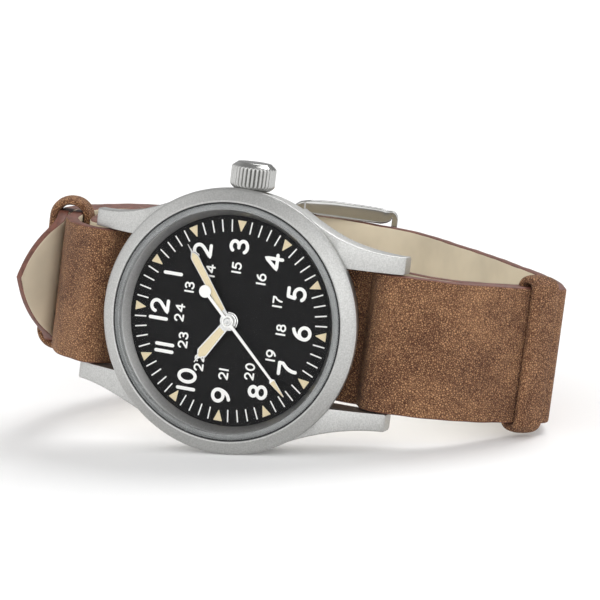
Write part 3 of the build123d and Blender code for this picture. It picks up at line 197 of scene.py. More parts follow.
def grid_quads(rows, columns, wrap_rows, wrap_columns):
    """Quads of a grid of points stored row by row, with either way closed on itself."""
    i = np.arange(rows if wrap_rows else rows - 1)
    j = np.arange(columns if wrap_columns else columns - 1)
    i, j = (a.ravel() for a in np.meshgrid(i, j, indexing="ij"))
    below, right = (i + 1) % rows, (j + 1) % columns
    return np.stack([i * columns + j, below * columns + j, below * columns + right, i * columns + right], axis=1)


def tube(rings):
    """A part of closed rings, with a face at either end."""
    rings = np.asarray(rings)
    rows, columns = rings.shape[:2]
    ends = np.arange(rows * columns).reshape(rows, columns)[[0, -1]]
    return rings, [grid_quads(rows, columns, False, True), ends]


def hoop(rings):
    """A part of closed rings, the last of them joined to the first."""
    return rings, [grid_quads(*rings.shape[:2], True, True)]


def spindle(outlines, poles):
    """A part of open outlines that share out a full turn, closed at both ends by a fan about a pole."""
    rows, columns = outlines.shape[:2]
    spoke = np.arange(rows)
    following = (spoke + 1) % rows
    fans = [
        np.stack([np.full(rows, rows * columns + pole), spoke * columns + end, following * columns + end], axis=1)
        for pole, end in enumerate((0, columns - 1))
    ]
    return np.concatenate([outlines.reshape(-1, 3), poles]), [grid_quads(rows, columns, True, False), *fans]


def link(name, mesh, materials, indices=0, smooth=True, sharp=None):
    """A piece from a mesh, with its materials and its shading."""
    for material in materials:
        mesh.materials.append(material)
    count = len(mesh.polygons)
    mesh.polygons.foreach_set("material_index", np.array(np.broadcast_to(indices, count), np.int32))
    mesh.polygons.foreach_set("use_smooth", np.full(count, smooth))
    if sharp is not None:
        mesh.set_sharp_from_angle(angle=math.radians(sharp))
    piece = bpy.data.objects.new(name, mesh)
    bpy.context.scene.collection.objects.link(piece)
    return piece


def solid(name, parts, materials, sharp=None, axes=dial, indices=0, smooth=True):
    """A piece of closed parts, given on the dial's or the head's axes, with every face turned outwards."""
    points, faces, first = [], [], 0
    for places, groups in parts:
        points.append(places.reshape(-1, 3))
        for group in groups:
            faces += (group + first).tolist()
        first += len(points[-1])
    mesh = bpy.data.meshes.new(name)
    mesh.from_pydata(axes(np.concatenate(points)).tolist(), [], faces)
    piece = link(name, mesh, materials, indices, smooth, sharp)
    mesh.validate()
    work = bmesh.new()
    work.from_mesh(mesh)
    bmesh.ops.recalc_face_normals(work, faces=work.faces)
    work.to_mesh(mesh)
    work.free()
    return piece


def hold(piece, body, slot, *replaced):
    """Carry a piece on a body and hide the nodes it stands for; the slot is not used."""
    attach(piece, body)
    if replaced:
        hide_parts(*replaced)


def rounded(corners, radii, steps=5):
    """A closed outline with each corner replaced by an arc: the arc's centre lies on the
    corner's bisector, at the radius over the sine of half the corner's angle."""
    corners = np.asarray(corners, float)
    radii = np.broadcast_to(radii, len(corners))
    before, after = (unit(np.roll(corners, step, axis=0) - corners) for step in (1, -1))
    half = np.arccos(np.clip((before * after).sum(1), -1, 1)) / 2
    reach = (radii / np.tan(half))[:, None]
    share = np.linspace(0, 1, steps)
    centre = corners + unit(before + after) * (radii / np.sin(half))[:, None]
    start, end = before * reach + corners - centre, after * reach + corners - centre
    sweep = (math.pi - 2 * half)[:, None]
    near, far = (np.sin(sweep * part) / np.sin(sweep) for part in (1 - share, share))
    arcs = centre[:, None] + near[..., None] * start[:, None] + far[..., None] * end[:, None]
    return arcs.reshape(-1, 2)


def lathe(name, outline, materials, segments=256):
    """A closed outline of (radius, height out of the dial) turned once about the dial's axis."""
    return solid(name, [hoop(spun(*outline.T, circle(segments)[:, None]))], materials, 50)


def disc(name, rim, crown, materials, segments=256):
    """A turned disc: rim is its outline from the top's edge to the bottom's edge, and the top rises
    by a circle's arc to the height crown at the centre."""
    rim = np.array(rim)
    shares = np.linspace(0, 1, 24)[1:]
    top = np.stack([rim[0, 0] * shares, crown + (rim[0, 1] - crown) * shares**2], axis=1)
    outlines = spun(*np.concatenate([top, rim[1:]]).T, circle(segments)[:, None])
    return solid(name, [spindle(outlines, [(0, 0, crown), (0, 0, rim[-1, 1])])], materials, 50)


def softened(node, width, materials, angle=32):
    """A copy of a CAD node, merged, its flats made whole again and its edges rounded."""
    work = bmesh.new()
    work.from_mesh(NODES[node].data)
    bmesh.ops.remove_doubles(work, verts=work.verts, dist=MM * 0.002)
    bmesh.ops.dissolve_limit(work, angle_limit=math.radians(1.0), verts=work.verts, edges=work.edges)
    edges = [e for e in work.edges if e.is_manifold and e.calc_face_angle(0) > math.radians(angle)]
    bmesh.ops.bevel(
        work, geom=edges, offset=width * MM, segments=2, profile=0.5, affect="EDGES", clamp_overlap=True
    )
    bmesh.ops.triangulate(work, faces=[f for f in work.faces if len(f.verts) > 4])
    mesh = bpy.data.meshes.new(node + "_softened")
    work.to_mesh(mesh)
    work.free()
    return link(node + "_softened", mesh, materials, sharp=angle)


def circle_through(first, second, third):
    """The middle and radius of the circle through three places: its middle is as far from each."""
    first, second, third = (np.array(place, float) for place in (first, second, third))
    rows = 2 * np.array([second - first, third - first])
    middle = np.linalg.solve(rows, [second @ second - first @ first, third @ third - first @ first])
    return middle, np.linalg.norm(middle - first)


# The case. Outlines are (radius or distance across, height out of the dial).
CASE_RADIUS = 18.7
CASE_TOP, CASE_FOOT = -0.1, -6.3
CASE_OUTLINE = [(15.2, CASE_TOP), (CASE_RADIUS, CASE_TOP), (CASE_RADIUS, -3.6), (17.1, CASE_FOOT), (15.2, CASE_FOOT)]
RADIUS_BETWEEN_LUGS = 17.85
# A lug's outer edge in plan: from the middle towards 6 or 12 o'clock, and outwards
LUG_PLAN = np.array(
    [(8.0, 17.15), (9.5, 16.35), (11.4, 15.42), (14.6, 13.95), (17.5, 13.15), (20.4, 12.7), (23.45, 12.5)]
)
LUG_START, LUG_REACH = LUG_PLAN[[0, -1], 0]
LUG_INNER = 10.0
LUG_FOOT = -6.7
# The bow of a lug's top, in side view: where it starts, a place on it, and its end
LUG_BOW = [(14.6, CASE_TOP), (19.2, -1.65), (LUG_REACH, -3.9)]
BEZEL = rounded(
    [(17.0, -0.1), (19.0, -0.1), (19.0, 0.7), (18.7, 1.0), (17.25, 2.02), (17.0, 1.98)],
    [0.05, 0.12, 0.16, 0.35, 0.1, 0.06],
)
CRYSTAL_RIM, CRYSTAL_TOP = [(15.95, 2.3), (15.95, 2.12)], 2.45
CRYSTAL_BEVEL = rounded(
    [(15.97, 1.36), (16.9, 1.36), (16.9, 1.9), (16.62, 2.02), (15.97, 2.3)], [0.02, 0.03, 0.05, 0.05, 0.02]
)
REHAUT = rounded([(15.0, 0.02), (16.9, 0.02), (16.9, 1.3), (16.55, 1.3), (15.95, 0.9)], [0.04, 0.03, 0.03, 0.1, 0.3])


def middle_case(name, materials):
    """The middle case: a turned ring whose radius drops between the lugs, and four lugs. A lug is a
    rounded five-sided section carried outwards from the middle: its outer edge follows a cubic, its top
    bows down on a circle's arc, and its side stands upright above a slope that turns in."""
    radius, height = rounded(CASE_OUTLINE, [0.02, 0.14, 0.6, 0.2, 0.02]).T
    turn = circle(360)[:, None]
    between = np.abs(CASE_RADIUS * np.sin(turn)) < LUG_INNER
    parts = [hoop(spun(np.where(between, np.minimum(radius, RADIUS_BETWEEN_LUGS), radius), height, turn))]
    along = np.concatenate([np.linspace(LUG_START, LUG_REACH - 0.12, 40), [LUG_REACH]])
    middle, bow = circle_through(*LUG_BOW)
    bow_start = LUG_BOW[0][0]
    bowed = middle[1] + np.sqrt(bow**2 - (np.maximum(along, bow_start) - middle[0]) ** 2)
    top = np.where(along > bow_start, bowed, CASE_TOP)
    low = np.interp(along, [17.1, LUG_REACH], [CASE_FOOT, LUG_FOOT])
    outer = np.polyval(np.polyfit(*LUG_PLAN.T, 3), along)
    side = np.maximum(top - 3.7, low + 0.5)
    turned_in = np.interp(along, [LUG_START, LUG_REACH], [1.7, 0.35])
    sections = np.array([
        rounded([(LUG_INNER, t), (o, t), (o, s), (o - i, b), (LUG_INNER, b)], [0.1, 0.22, 0.35, 0.2, 0.1])
        for o, t, s, b, i in zip(outer, top, side, low, turned_in)
    ])
    sections[-1] += (sections[-1].mean(0) - sections[-1]) * 0.07
    for across, up in product((1, -1), repeat=2):
        stations = np.broadcast_to(along[:, None] * up, sections.shape[:2])
        parts.append(tube(np.stack([sections[..., 0] * across, stations, sections[..., 1]], axis=-1)))
    return solid(name, parts, materials, 40)


# The crown: where it stands on its stem, and its outline (radius, height along the stem, share of a flute)
CROWN_DEPTH = 2.3
CROWN_FLUTES = 32
FLUTE_DEPTH = 0.36
CROWN_OUTLINE = np.array([
    (0.0, 22.66, 0), (1.2, 22.66, 0), (2.2, 22.64, 0), (2.38, 22.62, 0), (2.45, 22.58, 0), (2.5, 22.52, 0),
    (2.8, 22.28, 0), (3.02, 22.1, 0), (3.08, 22.04, 0.05), (3.14, 21.97, 0.3), (3.19, 21.86, 0.7),
    (3.2, 21.7, 1), (3.2, 21.2, 1), (3.2, 20.5, 1), (3.2, 19.7, 1), (3.18, 19.4, 1), (3.08, 19.25, 0.6),
    (2.95, 19.1, 0.2), (2.8, 18.98, 0), (2.7, 18.9, 0), (2.62, 18.84, 0), (2.5, 18.8, 0), (2.0, 18.8, 0),
    (1.95, 18.85, 0), (1.95, 21.28, 0), (1.0, 21.3, 0), (0.0, 21.3, 0),
])


def fluted_crown(name, materials):
    """The crown: an outline turned about its stem, whose radius falls between two ridges as one less the
    size of a sine does, so that each ridge is round and each groove between them is narrow."""
    turn = circle(CROWN_FLUTES * 16)[:, None]
    radius, height, share = CROWN_OUTLINE[1:-1].T
    reach = radius - FLUTE_DEPTH * share * (1 - np.abs(np.sin(CROWN_FLUTES / 2 * turn)) ** 0.8)
    flat = np.stack([reach * np.cos(turn), CROWN_DEPTH + reach * np.sin(turn)], axis=-1)
    poles = [(0, CROWN_DEPTH, CROWN_OUTLINE[end, 1]) for end in (0, -1)]
    return solid(name, [spindle(lifted(flat, height), poles)], materials, 44, head)


# Dial print: numerals are strokes, each a low rounded bar along its centre line


def arc(x, y, wide, high, start, end, count=20):
    """Points of an ellipse's arc, in degrees anticlockwise from its right."""
    turn = np.radians(np.linspace(start, end, count))
    return np.stack([x + wide * np.cos(turn), y + high * np.sin(turn)], axis=1)


def ring(place, radius, count):
    """A closed circle's outline."""
    return arc(*place, radius, radius, 0, 360, count + 1)[:-1]


def run(*places):
    """Points along straight runs, close enough together to carry a stroke."""
    legs = len(places) - 1
    return along_at(np.linspace(0, legs, 8 * legs + 1), np.arange(legs + 1), places)


# Centre lines of the numerals, one unit high, as each is drawn. The width that a numeral takes is the second value.
NUMERALS = {
    "0": ([arc(0.34, 0.5, 0.34, 0.5, 90, 450, 44)], 0.68),
    "1": ([run((0, 0), (0, 1))], 0.0),
    "2": (
        [np.concatenate([arc(0.32, 0.7, 0.32, 0.3, 170, -38, 24), run((0.52, 0.44), (0.0, 0.0), (0.66, 0.0))])],
        0.66,
    ),
    "3": (
        [
            np.concatenate([arc(0.27, 0.76, 0.29, 0.24, 150, -90, 24), [(0.2, 0.52)]]),
            np.concatenate([[(0.24, 0.52)], arc(0.27, 0.26, 0.33, 0.26, 90, -155, 28)]),
        ],
        0.6,
    ),
    "4": ([run((0.6, 0.0), (0.6, 1.0), (0.0, 0.3), (0.82, 0.3))], 0.82),
    "5": (
        [np.concatenate([run((0.6, 1.0), (0.12, 1.0), (0.06, 0.56)), arc(0.3, 0.32, 0.34, 0.32, 132, -150, 28)])],
        0.64,
    ),
    "6": ([arc(0.34, 0.32, 0.34, 0.32, 90, 450, 36), arc(0.62, 0.32, 0.62, 0.69, 180, 100, 20)], 0.68),
    "7": ([run((0, 1.0), (0.64, 1.0)), np.concatenate([[(0.64, 1.0)], arc(1.3, 0, 1.1, 0.98, 128, 180, 16)])], 0.64),
    "8": ([arc(0.33, 0.77, 0.27, 0.23, 90, 450, 32), arc(0.33, 0.27, 0.33, 0.27, 90, 450, 36)], 0.66),
}
NUMERALS["9"] = ([np.array([0.68, 1.0]) - path for path in NUMERALS["6"][0]], 0.68)

# Across a stroke: shares of its half width and of its height
STROKE_SHARES = np.array([(-1.0, 0.0), (-0.86, 0.9), (0.0, 1.0), (0.86, 0.9), (1.0, 0.0)])


def stroke(path, width, height):
    """A low bar along a path of (x, y): its section is carried square to the path, and its half width
    falls off at both ends as a circle does."""
    half, path = width / 2, distinct(path)
    closed = bool(np.linalg.norm(path[0] - path[-1]) < half / 4)
    if closed:
        path = path[:-1]
        along = np.roll(path, -1, axis=0) - np.roll(path, 1, axis=0)
        fall = np.ones(len(path))
    else:
        share = np.sin(np.linspace(0, math.pi / 2, 7))[::-1, None]
        start, end = unit(path[0] - path[1]) * half * share, unit(path[-1] - path[-2]) * half * share[::-1]
        path = np.concatenate([path[0] + start[:-1], path, path[-1] + end[1:]])
        along = np.gradient(path, axis=0)
        cap = np.sqrt(np.clip(1 - share[:, 0] ** 2, 0.0004, 1))
        fall = np.concatenate([cap[:-1], np.ones(len(path) - 2 * (len(cap) - 1)), cap[::-1][1:]])
    widths = STROKE_SHARES[:, 0] * fall[:, None] * half
    flat = path[:, None] + left_of(unit(along))[:, None] * widths[..., None]
    bar = lifted(flat, height * STROKE_SHARES[:, 1] * np.sqrt(fall)[:, None])
    return bar, [grid_quads(*bar.shape[:2], closed, True)]


def numeral_strokes(text, radius, degrees, height, width, ink):
    """The strokes of a number, upright towards 12 o'clock, its middle on a ring of the dial."""
    scale = height - width
    gap = 1.95 * width / scale
    left = -(sum(NUMERALS[digit][1] for digit in text) + (len(text) - 1) * gap) / 2
    strokes = []
    for digit in text:
        paths, wide = NUMERALS[digit]
        strokes += [stroke(clock(radius, degrees) + (path + [left, -0.5]) * scale, width, ink) for path in paths]
        left += wide + gap
    return strokes


def prism(outline, low, high, bevel):
    """A flat part of an outline of (x, y): its wall, a small bevel and its top, drawn in by the bevel."""
    drawn = outline + unit(outline.mean(0) - outline) * bevel
    return tube([lifted(outline, low), lifted(outline, high - bevel / 2), lifted(drawn, high)])


def turned_by(outline, degrees):
    """An outline whose second axis points to 12 o'clock, turned clockwise."""
    turn = math.radians(degrees)
    x, y = outline.T
    return np.stack([x * math.cos(turn) + y * math.sin(turn), y * math.cos(turn) - x * math.sin(turn)], axis=1)


def mirrored(sides):
    """A closed outline from one side's (half width, distance): that side, then the other one back."""
    sides = np.array(sides, float)
    return np.concatenate([sides * [-1, 1], sides[::-1]])


# Leather. Places on the loop are (towards 6 o'clock, away behind the dial) in the head's axes.
STRAP_DEPTH = 68.0
# Places that the strap passes, given as shares of the loop's depth: they follow the CAD strap's route
LOOP = {
    name: STRAP_DEPTH * np.array(shares)
    for name, shares in {
        "tail_tip": (-0.543, 0.082),
        "tail_high": (-0.482, 0.572),
        "crest_left": (-0.194, 0.994),
        "crest_right": (-0.06, 1.0),
        "shoulder": (0.119, 0.959),
        "right_high": (0.359, 0.713),
        "right_mid": (0.584, 0.434),
        "right_bend": (0.6225, 0.2985),
        "right_low": (0.518, 0.168),
        "left_near": (-0.396, 0.0706),
        "left_low": (-0.4456, 0.1618),
        "left_mid": (-0.4882, 0.3368),
        "left_high": (-0.4544, 0.5618),
        "inner_left_mid": (-0.4397, 0.3456),
        "inner_left_low": (-0.4015, 0.1912),
    }.items()
}
OVER_THE_TOP = [name for name in LOOP if name.startswith(("tail_high", "crest", "shoulder", "right"))]
UP_THE_LEFT = [name for name in LOOP if name.startswith("left")]
INNER_LEFT_NEAR = STRAP_DEPTH * -0.381
LAYER_GAP, FIT_GAP, TAIL_GAP = 0.08, 0.05, 0.16
TAIL_LOW_SLIP, TAIL_MID_SLIP = 2.2, 0.6
# The spring bar at 6 o'clock, and how the long layer goes round it and under the case
BAR = np.array([21.5, 5.7])
BAR_RADIUS = 0.75
BAR_ENTRY_HEADING, BAR_EXIT_HEADING = 197.0, 116.6
BAR_LEAF_LENGTH, FAR_WRAP_LENGTH = 9.8, 6.9
BACK_DEPTH = 7.0
PIN_BAR = np.array([-11.5, 64.3])
KEEPER_FROM_BEND, KEEPER_LENGTH = 2.1, 3.8
# What a keeper leaves free of the strap at its sides, above and below, and its corners
KEEPER_SIDE, KEEPER_ABOVE, KEEPER_BELOW = 0.15, 0.4, 0.12
FIXED_BAND, FREE_BAND = 4.6, 4.8
FREE_KEEPER_AT, FREE_KEEPER_RISE, FREE_KEEPER_CORNER = 7.6, 0.5, 2.4
INNER_END_BACK, INNER_END_GAP = 3.1, 0.1
# The tail's outline is an arc from its tip, by way of a place, to its end, as (along the strap, half the width)
TAIL_WAY = (3.2, 5.9)
TAIL_LENGTH = 9.0
TAIL_CUT = 1.9
SKIVE_LENGTH, SKIVE_SHARE = 14.0, 0.66
# The layers' edges: their rounding, and how far they waver
EDGE_RADIUS, EDGE_WAVE = 0.32, 0.05
ROUTE_STEP, KEEPER_STEP = 0.45, 0.5
# Distances of the punches from the CAD tail's tip, and the slot and folds at the buckle
PUNCHES = 32.0 + 7.0 * np.arange(7)
PUNCH_RADIUS, PUNCH_DEPTH = 0.9, 1.4
TONGUE_SLOT, TONGUE_SWING = 2.9, math.radians(4.0)
EYE_RADIUS, EYE_SLOT, EYE_BORE = 2.25, 3.2, 0.8


def meeting(before, place, after, distance):
    """Where two runs meet again once both are moved to their left."""
    one, two = left_of(unit(place - before)), left_of(unit(after - place))
    return place + (one + two) * (distance / (1 + one @ two))


def smooth_route(points, bends, fine=0.0):
    """A route through straight runs joined by arcs: each corner's arc touches both runs at its radius
    times the tangent of half the turn. Returned as points spaced evenly along it, with unit tangents and
    the distance of each."""
    points = np.array(list(points), float)
    runs = unit(np.diff(points, axis=0))
    into, onto = runs[:-1], runs[1:]
    turn = np.arctan2(into[:, 0] * onto[:, 1] - into[:, 1] * onto[:, 0], (into * onto).sum(1))
    trace = [points[:1]]
    for place, first, swing, radius in zip(points[1:-1], into, turn, bends):
        start = place - first * radius * abs(math.tan(swing / 2))
        side = left_of(first) * math.copysign(radius, swing)
        share = np.linspace(0, swing, max(4, int(abs(swing) * 14)))[:, None]
        trace.append(start + side - side * np.cos(share) - left_of(side) * np.sin(share))
    trace = distinct(np.concatenate([*trace, points[-1:]]))
    length = np.concatenate([[0], np.cumsum(steps(trace))])
    even = np.linspace(fine, length[-1], int(length[-1] / ROUTE_STEP) + 1)
    closer = fine * (1 - np.cos(np.linspace(0, math.pi / 2, 30)))[:-1] if fine else []
    even = np.concatenate([closer, even])
    route = along_at(even, length, trace)
    return route, unit(np.gradient(route, even, axis=0)), even


def left_side():
    """The direction of the loop's left side, and the step there from the long layer to its tail."""
    along = unit(LOOP["left_mid"] - LOOP["left_low"])
    return along, left_of(along) * (sizes("leather_sizes").strap_thickness + TAIL_GAP)


def main_route():
    """The places of the long layer by name, from its tip to the buckle, as the CAD strap runs, and the
    radius of its bend at each place between the first and the last."""
    thick = sizes("leather_sizes").strap_thickness
    wrap = BAR_RADIUS + FIT_GAP + thick / 2
    under_case = BACK_DEPTH + FIT_GAP + thick / 2
    half_turn = math.radians((BAR_ENTRY_HEADING - BAR_EXIT_HEADING) / 2)
    wrap_side = heading((BAR_ENTRY_HEADING + BAR_EXIT_HEADING) / 2 + 90)
    near_wrap = BAR + wrap_side * (wrap / math.cos(half_turn))
    exit_run = heading(BAR_EXIT_HEADING)
    near_under = near_wrap + exit_run * ((under_case - near_wrap[1]) / exit_run[1])
    far_under = np.array([-near_under[0], under_case])
    left_run, lap = left_side()
    tail_low = LOOP["left_low"] + lap + left_run * TAIL_LOW_SLIP
    places = {
        "tip": LOOP["tail_tip"] + unit(tail_low - LOOP["tail_tip"]) * TAIL_CUT,
        "tail_low": tail_low,
        "tail_mid": LOOP["left_mid"] + lap + left_run * TAIL_MID_SLIP,
        **{name: LOOP[name] for name in OVER_THE_TOP},
        "near_leaf": near_wrap - heading(BAR_ENTRY_HEADING) * BAR_LEAF_LENGTH,
        "near_wrap": near_wrap,
        "near_under": near_under,
        "far_under": far_under,
        "far_wrap": far_under - heading(180 - BAR_EXIT_HEADING) * FAR_WRAP_LENGTH,
        **{name: LOOP[name] for name in UP_THE_LEFT},
        "buckle": PIN_BAR - unit(PIN_BAR - LOOP["left_high"]) * ((BAR_RADIUS + EYE_RADIUS) / 2),
    }
    bends = [4.0, 14.0, 40.0, 12.0, 21.0, 12.0, 40.0, 40.0, 2.0, 12.0, 12.0, wrap, 1.5, 1.5, 1.8, 7.0, 15.0, 12.0, 30.0]
    return places, bends


def inner_route():
    """The places of the inner layer, from the buckle to the fixed keeper, and the radii of its bends."""
    leather = sizes("leather_sizes")
    thick, under = leather.strap_thickness, leather.under_thickness
    apart = (thick + under) / 2 + LAYER_GAP
    main, _ = main_route()
    right_bend, right_low, left_high = main["right_bend"], main["right_low"], main["left_high"]
    buckle_run, keeper_run = unit(PIN_BAR - left_high), unit(right_bend - right_low)
    depth = BACK_DEPTH + FIT_GAP + thick / 2 + (thick + under) / 2 + FIT_GAP
    keeper_end = KEEPER_FROM_BEND + KEEPER_LENGTH + INNER_END_GAP
    inner = [
        PIN_BAR - buckle_run * INNER_END_BACK - left_of(buckle_run) * apart,
        meeting(main["left_mid"], left_high, PIN_BAR, -apart),
        LOOP["inner_left_mid"],
        LOOP["inner_left_low"],
        np.array([INNER_LEFT_NEAR, depth]),
        np.array([BAR[0], depth]),
        meeting(main["near_wrap"], main["near_leaf"], right_low, apart),
        meeting(main["near_leaf"], right_low, right_bend, apart),
        right_bend - keeper_run * keeper_end + left_of(keeper_run) * apart,
    ]
    return inner, [30.0 - apart, 20.0, 3.0, 1.2, 12.0, 12.0 - apart, 12.0 - apart]


def strap_band(name, points, bends, thickness, materials, tip=False):
    """A band of leather: at each place of the route a rounded section stands square to it. Its edges are
    the painted material, its left side the outer one, its right side the lining. The width falls off
    towards a pointed tip as two arcs, and both edges waver by a few hundredths of a millimetre."""
    route, tangent, length = smooth_route(points, bends, fine=TAIL_LENGTH if tip else 0.0)
    half_width = np.full(len(route), sizes("leather_sizes").strap_width / 2)
    skived = np.ones(len(route))
    if tip:
        middle, radius = circle_through((0.0, 0.0), TAIL_WAY, (TAIL_LENGTH, half_width[0]))
        arc_width = middle[1] + np.sqrt(np.clip(radius**2 - (length - middle[0]) ** 2, 0, None))
        half_width = np.where(length < TAIL_LENGTH, np.maximum(arc_width, 0.12), half_width)
        skived = np.interp(length, [0, SKIVE_LENGTH], [SKIVE_SHARE, 1.0])
    half_width = half_width + EDGE_WAVE / 2 * (np.sin(length * 0.61) + 0.6 * np.sin(length * 1.37 + 1.0))
    # one side of the section, from the middle of one edge to the middle of the other: each point's share of
    # the half width, how far its edge's rounding draws it in, and its place through the thickness
    half, quarter = thickness / 2, np.linspace(0, math.pi / 2, 4)
    rise, inset = half - EDGE_RADIUS + EDGE_RADIUS * np.sin(quarter), EDGE_RADIUS * (1 - np.cos(quarter))
    face = np.linspace(1, -1, 17)[1:-1]
    side = np.array([
        np.concatenate([np.ones(5), face, -np.ones(4)]),
        np.concatenate([[0], inset, 0 * face, -inset[::-1]]),
        np.concatenate([[0], rise, half + 0 * face, rise[::-1]]),
    ])
    z_shares, z_insets, across = np.concatenate([side, -side], axis=1)
    # the material of each point (0 outer, 1 edge, 2 lining); a face between two kinds is edge
    kinds = np.repeat([1, 0, 1, 2, 1], [3, len(face) + 4, 5, len(face) + 4, 2])
    strips = np.where(kinds == np.roll(kinds, -1), kinds, 1)
    room = np.clip(half_width / 0.8, 0.02, 1)[:, None]
    z = half_width[:, None] * z_shares - z_insets * room
    flat = route[:, None] + (left_of(tangent) * skived[:, None])[:, None] * across[:, None]
    indices = np.concatenate([np.tile(strips, len(route) - 1), [1, 1]])
    return solid(name, [tube(lifted(flat, z))], materials, 50, head, indices)


def cut(piece, cutter):
    """Take the cutter's volume from a piece."""
    tool = piece.modifiers.new("cut", "BOOLEAN")
    tool.operation, tool.solver, tool.object = "DIFFERENCE", "MANIFOLD", cutter
    bpy.context.view_layer.update()
    mesh = bpy.data.meshes.new_from_object(piece.evaluated_get(bpy.context.evaluated_depsgraph_get()))
    piece.modifiers.clear()
    piece.data = mesh
    bpy.data.objects.remove(cutter)


def strap_punches(name, places, bends, materials):
    """What is cut from the long layer: round punches along its route, each a circle carried square to the
    leather, and the slot through which the tongue swings."""
    route, tangent, length = smooth_route(places, bends, fine=TAIL_LENGTH)
    turn = circle(28)
    parts = []
    for distance in PUNCHES - TAIL_CUT:
        here, ahead = along_at(distance, length, route), unit(along_at(distance, length, tangent))
        flat = here + ahead * PUNCH_RADIUS * np.cos(turn)[:, None]
        reach = left_of(ahead) * PUNCH_DEPTH
        parts.append(tube([lifted(flat + step, PUNCH_RADIUS * np.sin(turn)) for step in (-reach, reach)]))
    seat = BUCKLE_RUN * TONGUE_SEAT[0] + left_of(BUCKLE_RUN) * TONGUE_SEAT[1]
    along, reach = unit(seat), np.linalg.norm(seat) + 1.5
    raised = along * math.cos(TONGUE_SWING) + left_of(along) * math.sin(TONGUE_SWING)
    low, high = (PIN_BAR + left_of(along) * step for step in (-BAR_RADIUS, BAR_RADIUS))
    corners = np.array([low, low + along * reach, high + raised * reach, high])
    parts.append(tube([lifted(corners, z) for z in (-TONGUE_SLOT / 2, TONGUE_SLOT / 2)]))
    return solid(name, parts, materials, axes=head, indices=1, smooth=False)


def leather_eyes(name, materials):
    """The folds that hold the pin bar: a rounded ring of leather turned about the bar, on each side of the
    tongue's slot."""
    low, high = EYE_SLOT / 2, sizes("leather_sizes").strap_width / 2
    section = rounded(
        [(EYE_BORE, low), (EYE_RADIUS, low), (EYE_RADIUS, high), (EYE_BORE, high)], [0.05, 0.4, 0.4, 0.05]
    )
    radius, width = section.T
    turn = circle(64)[:, None]
    flat = PIN_BAR + np.stack([radius * np.cos(turn), radius * np.sin(turn)], axis=-1)
    return solid(name, [hoop(lifted(flat, side * width)) for side in (1, -1)], materials, 60, head)


def keeper_loop(name, place, direction, opening, length, materials, soft, rise=0.0, corner=1.35):
    """A keeper: a rounded rectangle round the strap, carried by a section whose half width and half
    thickness follow a superellipse, so that it is nearly flat and turns in at its edges. It stands a
    little off the strap's edges, most above, where it also rises."""
    leather = sizes("leather_sizes")
    wall = leather.keeper_leather
    deep = (opening + wall) / 2
    high, low = (leather.strap_width / 2 + gap + wall / 2 for gap in (KEEPER_ABOVE + rise, KEEPER_BELOW))
    path = rounded([(deep, high), (-deep, high), (-deep, -low), (deep, -low)], corner, 12)
    legs = np.roll(path, -1, axis=0) - path
    counts = np.maximum(2, np.linalg.norm(legs, axis=1) / KEEPER_STEP).astype(int)
    path = np.concatenate([
        start + leg * np.linspace(0, 1, count, endpoint=False)[:, None]
        for start, leg, count in zip(path, legs, counts)
    ])
    outward = -left_of(unit(np.roll(path, -1, axis=0) - np.roll(path, 1, axis=0)))
    outward *= np.sign((outward * path).sum(1).mean())
    turn = circle(36)
    sway = rounded_wave(np.cos(turn), 0.55) * length / 2
    lift = rounded_wave(np.sin(turn), 0.55) * wall / 2
    lift = np.where(lift > 0, lift * (1 + soft * (1 - (2 * sway / length) ** 2)), lift)
    section = path[:, None] + outward[:, None] * lift[:, None]
    direction = unit(direction)
    flat = place + left_of(direction) * section[..., :1] + direction * sway[:, None]
    return solid(name, [hoop(lifted(flat, section[..., 1]))], materials, 70, head)


# The buckle's arms: from the pin bar towards the outer bar, the arm's inner and outer edge across the strap
BUCKLE_RUN = unit((16.25, 3.67))
ARM_STATIONS = np.array([-1.75, -1.0, 1.0, 4.6, 10.5, 12.6, 13.3, 13.8, 14.2, 14.9])
ARM_INNER = np.array([10.5, 10.1, 10.0, 10.0, 10.0, 10.0, 10.2, 10.6, 11.3, 11.4])
ARM_OUTER = np.array([11.6, 12.0, 12.35, 12.6, 12.55, 12.5, 12.45, 12.43, 12.4, 12.4])
ARM_THICKNESS = np.array([1.0, 1.4, 1.6, 1.5, 1.3, 1.2, 1.1, 1.0, 1.0, 1.0])
ARM_BEND = 0.75
OUTER_BAR_HALF = 0.5
BUCKLE_BOW = 0.7
# Where the tongue rests on the outer bar, from the pin bar: along the buckle and off it
TONGUE_SEAT = (16.66, 1.5)


